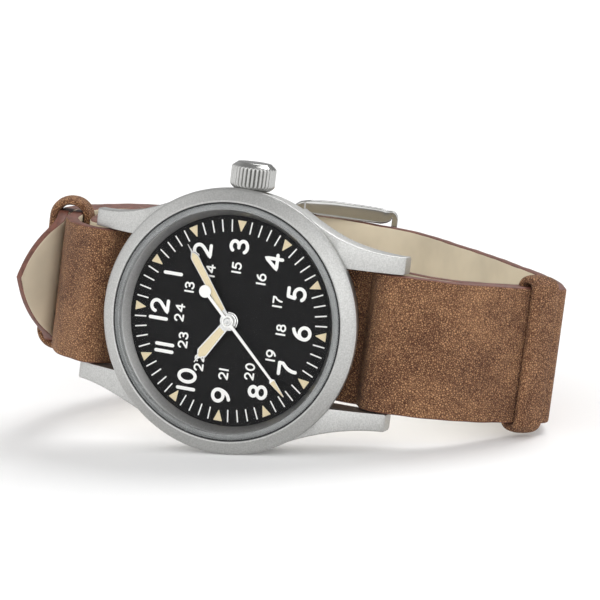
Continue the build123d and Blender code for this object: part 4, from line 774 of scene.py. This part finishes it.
def buckle_bow(name, materials):
    """The buckle's frame: a rounded section carried along one arm, round the outer bar and back along the
    other arm. The arms narrow towards the bar, and the whole bows outwards as a parabola does."""
    stations = np.linspace(ARM_STATIONS[0], ARM_STATIONS[-1] - ARM_BEND, 40)
    inner, outer = (np.interp(stations, ARM_STATIONS, edge) for edge in (ARM_INNER, ARM_OUTER))
    arm = np.stack([stations, (inner + outer) / 2], axis=1)
    turn = np.linspace(0, math.pi / 2, 12)[1:]
    bend = arm[-1] + ARM_BEND * np.stack([np.sin(turn), np.cos(turn) - 1], axis=1)
    bar = np.stack([np.full(30, ARM_STATIONS[-1]), np.linspace(bend[-1, 1], 0, 31)[1:]], axis=1)
    path = np.concatenate([arm, bend, bar])
    half = (outer - inner) / 2
    half = np.concatenate([half, np.linspace(half[-1], OUTER_BAR_HALF, len(bend)), np.full(len(bar), OUTER_BAR_HALF)])
    thick = np.interp(path[:, 0], ARM_STATIONS, ARM_THICKNESS) / 2
    path = np.concatenate([path, (path * [1, -1])[-2::-1]])
    half, thick = (np.concatenate([values, values[-2::-1]]) for values in (half, thick))
    cap = np.sqrt(1 - np.linspace(0.97, 0, 6) ** 2)
    for values in (half, thick):
        values[:6] *= cap
        values[-6:] *= cap[::-1]
    side = left_of(unit(np.gradient(path, axis=0)))
    around = circle(48)
    wide, deep = rounded_wave(np.cos(around), 0.32), rounded_wave(np.sin(around), 0.42)
    flat = path[:, None] + side[:, None] * (half[:, None] * wide)[..., None]
    share = flat[..., 0] / (ARM_STATIONS[-1] / 2) - 1
    lift = thick[:, None] * deep + BUCKLE_BOW * (1 - share**2)
    place = PIN_BAR + BUCKLE_RUN * flat[..., :1] + left_of(BUCKLE_RUN) * lift[..., None]
    return solid(name, [tube(lifted(place, flat[..., 1]))], materials, 60, head)


# Materials


def linear(colour, share=1.0):
    """The RGBA of a grey, or the linear RGBA of an sRGB hex value dimmed to a share of itself."""
    if not isinstance(colour, str):
        return (colour, colour, colour, 1.0)
    channels = np.array([int(colour[k : k + 2], 16) for k in (1, 3, 5)]) / 255
    lit = np.where(channels <= 0.04045, channels / 12.92, ((channels + 0.055) / 1.055) ** 2.4)
    return (*(lit * share).tolist(), 1.0)


def node(tree, kind, settings=None, stops=(), **links):
    """Add a shader node, set its properties and its ramp's stops, each (place, colour as RGBA, hex or grey),
    and give each socket, by its name or as i and its number, a value, an output or a node's first output."""
    made = tree.nodes.new("ShaderNode" + kind)
    for name, value in (settings or {}).items():
        setattr(made, name, value)
    for _ in stops[2:]:
        made.color_ramp.elements.new(0.5)
    for element, (place, colour) in zip(made.color_ramp.elements if stops else (), stops):
        element.position = place
        element.color = colour if isinstance(colour, tuple) else linear(colour)
    for name, value in links.items():
        socket = made.inputs[int(name[1:]) if name[1:].isdigit() else name.replace("_", " ")]
        value = value.outputs[0] if isinstance(value, bpy.types.Node) else value
        if isinstance(value, bpy.types.NodeSocket):
            tree.links.new(value, socket)
        else:
            socket.default_value = value
    return made


def cleared(owner):
    """The empty node tree of a material or a world."""
    owner.use_nodes = True
    owner.node_tree.nodes.clear()
    return owner.node_tree


def blank(name):
    """A new material, its node tree and its Object coordinates in millimetres."""
    material = bpy.data.materials.new(name)
    tree = cleared(material)
    place = node(tree, "TexCoord").outputs["Object"]
    return material, tree, node(tree, "VectorMath", {"operation": "SCALE"}, i0=place, Scale=1 / MM)


def shaded(material, **sockets):
    """The material, its tree ended in a Principled shader with these sockets."""
    tree = material.node_tree
    node(tree, "OutputMaterial", i0=node(tree, "BsdfPrincipled", **sockets))
    return material


def toned(name, scale, detail, stops, bump=None, fine=None, rough=0.5, **sockets):
    """A finish whose colour goes between its stops with a noise, its scale in waves per millimetre. Its
    surface follows the same noise, or a finer one, with the bump's strength and its depth in millimetres."""
    material, tree, place = blank(name)
    cloud = node(tree, "TexNoise", Vector=place, Scale=scale, Detail=detail, Roughness=rough)
    if bump:
        height = node(tree, "TexNoise", Vector=place, Scale=fine, Detail=2.0) if fine else cloud
        sockets["Normal"] = node(tree, "Bump", Strength=bump[0], Distance=bump[1] * MM, Height=height)
    return shaded(material, Base_Color=node(tree, "ValToRGB", stops=stops, i0=cloud), **sockets)


def tones(colour, share, low=0.35, high=0.65):
    """A ramp's stops from a dimmed colour to the colour, given as hex or as one of the user's colours."""
    colour = getattr(sizes("finishes"), colour, colour)
    return [(low, linear(colour, share)), (high, colour)]


def nubuck():
    """Nubuck: calf leather sanded on the grain side and waxed, so that rubbed nap shows lighter between
    dark pores, in soft patches where the wax was pulled."""
    looks, leather = sizes("finishes"), sizes("leather_sizes")
    grain, mottle = leather.grain, leather.mottle
    material, tree, place = blank("nubuck_leather")
    sway = node(tree, "TexNoise", Vector=place, Scale=0.9 / grain, Detail=2.0).outputs["Color"]
    nudge = node(tree, "VectorMath", {"operation": "SCALE"}, i0=sway, Scale=grain * 0.9)
    bent = node(tree, "VectorMath", {"operation": "ADD"}, i0=place, i1=nudge)
    cells = node(tree, "TexVoronoi", {"feature": "DISTANCE_TO_EDGE"}, Vector=bent, Scale=1 / grain)
    crack = node(tree, "MapRange", i0=cells, i1=0.0, i2=0.3, i3=0.0, i4=1.0)
    nap = node(tree, "TexNoise", Vector=place, Scale=2.4 / grain, Detail=3.0, Roughness=0.65)
    patch = node(tree, "TexNoise", Vector=place, Scale=1 / mottle, Detail=3.0, Roughness=0.55)
    rub = node(tree, "TexNoise", Vector=place, Scale=5.0 / mottle, Detail=2.0)
    weigh = {"operation": "MULTIPLY_ADD"}
    shade = node(tree, "Math", weigh, i0=patch, i1=0.6, i2=-0.82)
    for source, share in ((rub, 0.25), (nap, 1.5), (crack, 0.58)):
        shade = node(tree, "Math", weigh, i0=source, i1=share, i2=shade)
    level = node(tree, "Math", {"operation": "SUBTRACT"}, i0=shade, i1=0.15)
    stops = [(0.18, looks.nubuck_dark), (0.5, looks.nubuck_mid), (0.85, looks.nubuck_light)]
    relief = node(tree, "Math", weigh, i0=nap, i1=0.9, i2=crack)
    return shaded(
        material,
        Base_Color=node(tree, "ValToRGB", stops=stops, i0=level),
        Normal=node(tree, "Bump", Strength=1.0, Distance=0.16 * MM, Height=relief),
        Roughness=0.8,
        Specular_IOR_Level=0.25,
        Sheen_Weight=0.05,
        Sheen_Roughness=0.5,
    )


def edge_paint():
    """Acrylic edge paint on cut leather: reddish brown, smooth and slightly shiny, with shallow waves."""
    stops = tones("edge_paint", 0.62, 0.35, 0.6)
    return toned("painted_leather_edge", 1.1, 2.0, stops, (0.25, 0.1), Roughness=0.5, Specular_IOR_Level=0.35)


def lining():
    """Lining of smooth calf, aniline dyed: an even beige with a fine closed grain and faint tonal clouds."""
    stops = tones("lining", 0.86, 0.35, 0.62)
    return toned("calf_lining", 0.12, 3.0, stops, (0.12, 0.05), 4.5, Roughness=0.62, Specular_IOR_Level=0.3)


def blasted_steel():
    """Stainless steel blasted with glass beads: bright grey, evenly matte, with dimples that sparkle."""
    scale, stops = 1 / sizes("finishes").grit, tones("steel", 0.78)
    return toned("bead_blasted_steel", scale, 2.0, stops, (0.5, 0.025), rough=0.6, Metallic=1.0, Roughness=0.42)


def plain_metal(name, colour, roughness, grain=0.08, strength=0.1):
    """A polished or grained metal: one colour, with hairlines too fine to see apart, so that they are drawn
    0.08 mm wide, and wider on the plates and the ring, which are sanded."""
    stops = tones(colour, 0.92, 0.4, 0.6)
    return toned(name, 1 / grain, 1.0, stops, (strength, 0.01), Metallic=1.0, Roughness=roughness)


def paint(name, colour, roughness, grain=0.25, share=0.9, strength=0.15, specular=0.5):
    """Paint or moulded plastic: one colour with a fine tooth of the given width."""
    stops = tones(colour, share)
    return toned(name, 1 / grain, 2.0, stops, (strength, 0.01), Roughness=roughness, Specular_IOR_Level=specular)


def sapphire():
    """Synthetic sapphire with an antireflection coat: clear from the front, and brighter where the eye
    grazes its dome and its ground edge."""
    material, tree, _ = blank("sapphire_crystal")
    graze = node(tree, "LayerWeight", Blend=0.35).outputs["Facing"]
    cover = node(tree, "ValToRGB", stops=[(0.45, 0.015), (1.0, 0.6)], i0=graze)
    return shaded(material, Base_Color=linear("#101214"), Alpha=cover, Roughness=0.05, IOR=1.77)


def ground_sapphire():
    """The crystal's ground and polished bevel: half clear, and pale all round as a painted highlight of the light that
    the bevel catches.
    """
    stops = [(0.35, "#A0A3A3"), (0.65, "#ABAEAE")]
    return toned("ground_sapphire", 0.35, 2.0, stops, Alpha=0.42, Roughness=0.3, IOR=1.77)


def ruby():
    """Synthetic ruby, polished: deep pink red."""
    stops = [(0.3, "#7E0F2B"), (0.7, "#A51E3C")]
    return toned("ruby_jewel", 2.0, 1.0, stops, Roughness=0.08, IOR=1.76)


# Each metal's colour and roughness, then its grain in mm and how strong its relief is. Each paint's colour
# and roughness, then its grain, the share its darker tone keeps, its relief and its specular level.
METALS = {
    # polished stainless steel, which mirrors the light and the dark round it
    "crown_steel": ("#B8B8B6", 0.19),
    "buckle_steel": ("#ADADAB", 0.14),
    # steel plate, finely brushed: pale and even
    "hand_steel": ("#E6E6E2", 0.3),
    # turned stainless steel, its grey darkened as painted shade from the glass above it: a dull grey
    "rehaut_steel": ("#999998", 0.36, 0.3, 0.02),
    # hardened carbon steel, ground: cool grey
    "hard_steel": ("#B4B5B8", 0.28),
    # brass, sanded and thinly plated with nickel: pale and silky
    "plate_brass": ("#C9BD98", 0.38, 0.2, 0.3),
    # cut brass: yellow and bright
    "wheel_brass": ("#D6B25E", 0.25),
    # spring steel blued by heat: dark blue
    "blued_steel": ("#2E3A66", 0.25),
}
PAINTS = {
    # matt lacquer on the dial's brass: black with hardly a reflection
    "black_dial": ("#151516", 0.7, 0.12, 0.85, 0.08, 0.2),
    # pad-printed ink: an even white
    "white_ink": ("ink", 0.55, 0.2, 0.96),
    # luminous powder in a yellowed binder: cream and chalky
    "aged_lume": ("lume", 0.75, 0.1, 0.86, 0.35),
    # moulded nitrile rubber: dull black
    "black_rubber": ("#17181A", 0.7),
    # moulded acetal: an even light grey
    "moulded_holder": ("#BDBDB6", 0.5),
}
OTHERS = {
    "nubuck_leather": nubuck,
    "painted_leather_edge": edge_paint,
    "calf_lining": lining,
    "bead_blasted_steel": blasted_steel,
    "sapphire_crystal": sapphire,
    "ground_sapphire": ground_sapphire,
    "ruby_jewel": ruby,
}


def make_finish(name):
    """A new finish by its name."""
    if name in OTHERS:
        return OTHERS[name]()
    return plain_metal(name, *METALS[name]) if name in METALS else paint(name, *PAINTS[name])


def finish(*names):
    """Finishes by name, each made when it is first wanted."""
    return [bpy.data.materials.get(name) or make_finish(name) for name in names]


def dress(look, *names):
    """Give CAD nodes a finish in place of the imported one."""
    for name in names:
        mesh = NODES[name].data
        if mesh.materials:
            mesh.materials[0] = finish(look)[0]
        else:
            mesh.materials.append(finish(look)[0])
        mesh.polygons.foreach_set("use_smooth", np.full(len(mesh.polygons), True))


# Pieces


class WATCH_OT_bezel_and_glass(bpy.types.Operator):
    """Bezel, crystal and the ring between dial and crystal"""

    bl_idname = "watch.bezel_and_glass"
    bl_label = "Bezel and glass"

    def execute(self, context):
        hold(lathe("bezel_turned", BEZEL, finish("bead_blasted_steel")), "case", "blasted_steel", "bezel")
        dome = disc("crystal_domed", CRYSTAL_RIM, CRYSTAL_TOP, finish("sapphire_crystal"))
        hold(dome, "case", "crystal", "crystal")
        # the bevel ring's pale colour is a painted highlight, not the sapphire's own colour
        hold(lathe("crystal_bevel", CRYSTAL_BEVEL, finish("ground_sapphire")), "case", "crystal")
        # the rehaut's steel grey is darkened by painted shade
        hold(lathe("rehaut_turned", REHAUT, finish("rehaut_steel")), "case", "rehaut", "rehaut_ring")
        dress("black_rubber", "crystal_gasket")
        return {"FINISHED"}


class WATCH_OT_case(bpy.types.Operator):
    """Middle case with its lugs, case back, crown and spring bars"""

    bl_idname = "watch.case"
    bl_label = "Case and crown"

    def execute(self, context):
        steel = finish("bead_blasted_steel")
        hold(middle_case("case_body", steel), "case", "blasted_steel", "mid_case")
        hold(softened("case_back", 0.06, steel), "case", "blasted_steel", "case_back")
        hold(fluted_crown("crown_fluted", finish("crown_steel")), "crown", "blasted_steel", "crown")
        dress("black_rubber", "case_back_gasket", "crown_gasket")
        dress("hard_steel", "crown_tube", "winding_stem", "spring_bars")
        return {"FINISHED"}


class WATCH_OT_dial(bpy.types.Operator):
    """Dial with its minute track, hour triangles and two rings of numerals"""

    bl_idname = "watch.dial"
    bl_label = "Dial print"

    def execute(self, context):
        d = sizes("dial_sizes")
        ink = d.print_height
        dress("black_dial", "dial")
        strokes = []
        for hour in HOURS + 1:
            strokes += numeral_strokes(str(hour), d.hour_radius, 30 * hour, d.hour_height, d.hour_stroke, ink)
            strokes += numeral_strokes(str(hour + 12), d.day_radius, 30 * hour, d.day_height, d.day_stroke, ink)
        for degrees in 6 * np.arange(60):
            if degrees % 30:
                inner, outer = (clock(radius, degrees) for radius in (d.tick_inner, d.tick_outer))
                strokes.append(stroke(np.linspace(inner, outer, 5), d.tick_width, ink))
        hold(solid("dial_numerals", strokes, finish("white_ink"), 60), "case", "dial_black")
        half, low = d.triangle_base / 2, d.triangle_radius - d.triangle_length / 2
        corners = [(-half, low + d.triangle_length), (half, low + d.triangle_length), (0, low)]
        outline = rounded(corners, 0.06, 3)
        triangles = [prism(turned_by(outline, 30 * hour), 0.0, 2 * ink, PLATE_BEVEL) for hour in HOURS]
        hold(solid("dial_triangles", triangles, finish("aged_lume"), 30), "case", "dial_black")
        return {"FINISHED"}


# Each hand: its angle, body, level above the dial, finish, slot and hub's radius, then its blade and its
# lume as (half width, distance from the centre), from the hub to the tip
HANDS = {
    "hour_hand": (
        304.0, "hours", 0.36, "hand_steel", "hand_steel", 1.35,
        [(0.66, 0.2), (0.68, 1.5), (0.84, 6.1), (0.8, 6.3), (0.22, 7.0), (0.1, 7.3), (0.07, 8.0)],
        [(0.47, 1.6), (0.68, 6.1), (0.14, 6.85)],
    ),
    "minute_hand": (
        53.3, "minutes", 0.66, "hand_steel", "hand_steel", 1.15,
        [(0.45, 0.2), (0.47, 1.5), (0.62, 10.3), (0.56, 10.6), (0.15, 11.2), (0.08, 11.5), (0.06, 12.4)],
        [(0.34, 1.8), (0.5, 10.3), (0.12, 10.95)],
    ),
    "seconds_hand": (
        223.8, "seconds", 0.96, "white_ink", "hand_paint", 0.86,
        [(0.21, -5.4), (0.21, 1.0), (0.16, 10.3), (0.43, 10.6), (0.1, 13.0), (0.05, 13.35)],
        [(0.37, 10.67), (0.08, 12.95), (0.03, 13.28)],
    ),
}
COUNTERWEIGHT_REACH, COUNTERWEIGHT_RADIUS = 5.4, 0.9
PLATE, PLATE_BEVEL = 0.13, 0.03
SECONDS_CAP = rounded([(0.1, 1.0), (0.6, 1.0), (0.6, 1.17), (0.52, 1.25), (0.1, 1.25)], [0.02, 0.02, 0.04, 0.04, 0.03])


class WATCH_OT_hands(bpy.types.Operator):
    """Hour, minute and seconds hands with their luminous fill"""

    bl_idname = "watch.hands"
    bl_label = "Hands"

    def execute(self, context):
        for name, (degrees, body, level, look, slot, hub, blade, lume) in HANDS.items():
            plates = [prism(turned_by(mirrored(blade), degrees), level, level + PLATE, PLATE_BEVEL)]
            if name == "seconds_hand":
                weight = ring(clock(COUNTERWEIGHT_REACH, degrees + 180), COUNTERWEIGHT_RADIUS, 48)
                plates.append(prism(weight, level + 0.005, level + PLATE + 0.005, PLATE_BEVEL))
            plates.append(prism(ring((0, 0), hub, 64), level - 0.005, level + 0.14, 0.05))
            hold(solid(name + "_plate", plates, finish(look), 30), body, slot, name)
            fill = prism(turned_by(mirrored(lume), degrees), level + 0.1, level + 0.16, PLATE_BEVEL)
            hold(solid(name + "_lume", [fill], finish("aged_lume"), 30), body, "hand_paint")
        hold(lathe("seconds_hub", SECONDS_CAP, finish("hand_steel"), 96), "seconds", "hand_paint")
        pin = disc("seconds_pin", [(0.1, 1.2), (0.1, 1.0)], 1.21, finish("hard_steel"), 48)
        hold(pin, "seconds", "hand_paint")
        return {"FINISHED"}


MOVEMENT = {
    "plate_brass": ("main_plate", "barrel_bridge", "train_bridge", "balance_cock", "pallet_cock"),
    "wheel_brass": (
        "mainspring_barrel", "barrel_cover", "centre_wheel", "third_wheel", "fourth_wheel", "balance_wheel",
        "minute_wheel", "hour_wheel",
    ),
    "hard_steel": (
        "bridge_screws", "case_clamps", "mainspring", "barrel_arbor", "ratchet_wheel", "crown_wheel", "click",
        "escape_wheel", "pallet_fork", "cannon_pinion", "winding_pinion", "sliding_pinion", "setting_lever", "yoke",
    ),
    "blued_steel": ("hairspring",),
    "ruby_jewel": ("jewels",),
    "moulded_holder": ("movement_ring",),
}


class WATCH_OT_movement(bpy.types.Operator):
    """Finishes of the sealed movement"""

    bl_idname = "watch.movement"
    bl_label = "Movement"

    def execute(self, context):
        for look, names in MOVEMENT.items():
            dress(look, *names)
        return {"FINISHED"}


class WATCH_OT_strap(bpy.types.Operator):
    """Both layers of the strap and the two keepers"""

    bl_idname = "watch.strap"
    bl_label = "Strap and keepers"

    def execute(self, context):
        leather = sizes("leather_sizes")
        outer = finish("nubuck_leather", "painted_leather_edge", "calf_lining")
        places, bends = main_route()
        route = places.values()
        band = strap_band("strap_long_layer", route, bends, leather.strap_thickness, outer, tip=True)
        cut(band, strap_punches("strap_punches", route, bends, outer))
        hold(band, "case", "strap_nubuck", "strap_main")
        hold(leather_eyes("strap_eyes", outer[:1]), "case", "strap_nubuck")
        inner = finish("calf_lining", "painted_leather_edge", "calf_lining")
        layer = strap_band("strap_inner_layer", *inner_route(), leather.under_thickness, inner)
        hold(layer, "case", "strap_lining", "strap_under")
        run_in = unit(places["right_bend"] - places["right_low"])
        fixed_at = places["right_bend"] - run_in * (KEEPER_FROM_BEND + KEEPER_LENGTH / 2)
        opening = leather.strap_thickness + 2 * KEEPER_SIDE
        fixed = keeper_loop("keeper_by_the_bend", fixed_at, run_in, opening, FIXED_BAND, outer[:1], 0.35)
        hold(fixed, "case", "strap_nubuck", "keeper_fixed")
        left_run, lap = left_side()
        free_at = places["left_low"] + left_run * FREE_KEEPER_AT + lap / 2
        opening = 2 * (leather.strap_thickness + KEEPER_SIDE)
        shape = 0.3, FREE_KEEPER_RISE, FREE_KEEPER_CORNER
        free = keeper_loop("keeper_by_the_tip", free_at, left_run, opening, FREE_BAND, outer[:1], *shape)
        hold(free, "keeper_free", "strap_nubuck", "keeper_free")
        return {"FINISHED"}


class WATCH_OT_buckle(bpy.types.Operator):
    """Buckle frame, its bar and its tongue"""

    bl_idname = "watch.buckle"
    bl_label = "Buckle"

    def execute(self, context):
        polish = finish("buckle_steel")
        hold(buckle_bow("buckle_bow", polish), "case", "polished_steel", "buckle_frame")
        hold(softened("buckle_tongue", 0.12, polish), "buckle_tongue", "polished_steel", "buckle_tongue")
        dress("hard_steel", "buckle_bar")
        return {"FINISHED"}


# The camera of the photograph: its place and its axes, on the head's axes
CAMERA_PLACE = (135.4, -399.5, 59.2)
CAMERA_AXES = np.array([(0.9414, 0.3129, 0.1259), (-0.1595, 0.0842, 0.9836), (0.2971, -0.9461, 0.1292)])
FLOOR_REACH = 3.0


def stand(name, data, axes, place=(0, 0, 0)):
    """An object in the scene with its own axes at a place."""
    thing = bpy.data.objects.new(name, data)
    matrix = np.eye(4)
    matrix[:3, :3], matrix[:3, 3] = np.transpose(axes), place
    thing.matrix_world = Matrix(matrix.tolist())
    bpy.context.scene.collection.objects.link(thing)
    return thing


class WATCH_OT_stage(bpy.types.Operator):
    """Floor, lights, world and the camera of the photograph"""

    bl_idname = "watch.stage"
    bl_label = "Stage"

    def execute(self, context):
        context.scene.view_settings.view_transform = "Standard"
        self.floor()
        self.world(context.scene)
        self.lamp("key", (0.2, 0.62, 0.85), 36.0, 1.85)
        self.lamp("fill", (0.3, -1.0, 0.3), 60.0, 0.9)
        data = bpy.data.cameras.new("camera")
        data.sensor_width, data.lens, data.clip_start = 36.0, 180.0, 0.01
        context.scene.camera = stand("camera", data, CAMERA_AXES @ HEAD_AXES, head(CAMERA_PLACE))
        return {"FINISHED"}

    def floor(self):
        """A pale floor that takes the shadow, and shows white where the light reaches it."""
        material = bpy.data.materials.new("pale_floor")
        tree = cleared(material)
        rays = node(tree, "LightPath")
        camera, glossy = (rays.outputs[name] for name in ("Is Camera Ray", "Is Glossy Ray"))
        seen = node(tree, "Math", {"operation": "MAXIMUM"}, i0=camera, i1=glossy)
        faint = node(tree, "Math", {"operation": "MULTIPLY"}, i0=seen, i1=0.1)
        glow = node(tree, "Emission", Color=linear(1.0), Strength=faint)
        diffuse = node(tree, "BsdfDiffuse", Color=linear(0.86))
        node(tree, "OutputMaterial", i0=node(tree, "AddShader", i0=diffuse, i1=glow))
        corners = [(x * FLOOR_REACH, y * FLOOR_REACH, 0) for x, y in ((-1, -1), (1, -1), (1, 1), (-1, 1))]
        mesh = bpy.data.meshes.new("floor")
        mesh.from_pydata(corners, [], [(0, 1, 2, 3)])
        link("floor", mesh, [material], smooth=False)

    def world(self, scene):
        """White to the camera, and to the metal a studio: bright behind the camera and at both sides."""
        world = bpy.data.worlds.new("studio")
        scene.world = world
        tree = cleared(world)
        split = node(tree, "SeparateXYZ", i0=node(tree, "TexCoord").outputs["Generated"])
        front = node(tree, "MapRange", i0=split.outputs[1], i1=-1.0, i2=1.0, i3=0.0, i4=1.0)
        depth = node(tree, "ValToRGB", stops=[(0.0, 0.9), (0.35, 0.85), (0.55, 0.45), (1.0, 0.4)], i0=front)
        aside = node(tree, "Math", {"operation": "ABSOLUTE"}, i0=split)
        sides = node(tree, "ValToRGB", stops=[(0.0, 0.4), (0.45, 0.5), (0.75, 0.95), (1.0, 1.0)], i0=aside)
        both = node(tree, "Math", {"operation": "MULTIPLY"}, i0=depth, i1=sides)
        light = node(tree, "Background", Color=both, Strength=1.8)
        white = node(tree, "Background", Color=linear(1.0), Strength=1.0)
        seen = node(tree, "LightPath").outputs["Is Camera Ray"]
        node(tree, "OutputWorld", i0=node(tree, "MixShader", i0=seen, i1=light, i2=white))

    def lamp(self, name, towards, spread, strength):
        """A wide soft lamp so far off that its light is even over the whole floor."""
        data = bpy.data.lights.new(name, "SUN")
        data.angle, data.energy = math.radians(spread), strength
        back = unit(towards)
        right = unit(np.cross([0, 0, 1.0], back))
        stand(name, data, [right, np.cross(back, right), back])


class WATCH_PT_panel(bpy.types.Panel):
    """Lists the pieces and their sizes in the sidebar"""

    bl_label = "Field Watch"
    bl_idname = "WATCH_PT_panel"
    bl_space_type = "VIEW_3D"
    bl_region_type = "UI"
    bl_category = "Field Watch"

    def draw(self, context):
        for operator in OPERATORS:
            self.layout.operator(operator.bl_idname)
        for kind, group in GROUPS.items():
            box = self.layout.box()
            for name in group.__annotations__:
                box.prop(sizes(kind), name)


GROUPS = {"dial_sizes": DialSizes, "leather_sizes": LeatherSizes, "finishes": Finishes}
OPERATORS = (
    WATCH_OT_bezel_and_glass,
    WATCH_OT_case,
    WATCH_OT_dial,
    WATCH_OT_hands,
    WATCH_OT_movement,
    WATCH_OT_strap,
    WATCH_OT_buckle,
    WATCH_OT_stage,
)


def register():
    for kind, group in GROUPS.items():
        bpy.utils.register_class(group)
        setattr(bpy.types.Scene, kind, PointerProperty(type=group))
    for kind in (*OPERATORS, WATCH_PT_panel):
        bpy.utils.register_class(kind)


def unregister():
    for kind in (WATCH_PT_panel, *reversed(OPERATORS)):
        bpy.utils.unregister_class(kind)
    for kind, group in GROUPS.items():
        delattr(bpy.types.Scene, kind)
        bpy.utils.unregister_class(group)


def main():
    """Make every piece in order."""
    register()
    bpy.ops.watch.bezel_and_glass()
    bpy.ops.watch.case()
    bpy.ops.watch.dial()
    bpy.ops.watch.hands()
    bpy.ops.watch.movement()
    bpy.ops.watch.strap()
    bpy.ops.watch.buckle()
    bpy.ops.watch.stage()
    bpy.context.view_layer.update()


if __name__ == "__main__":
    main()
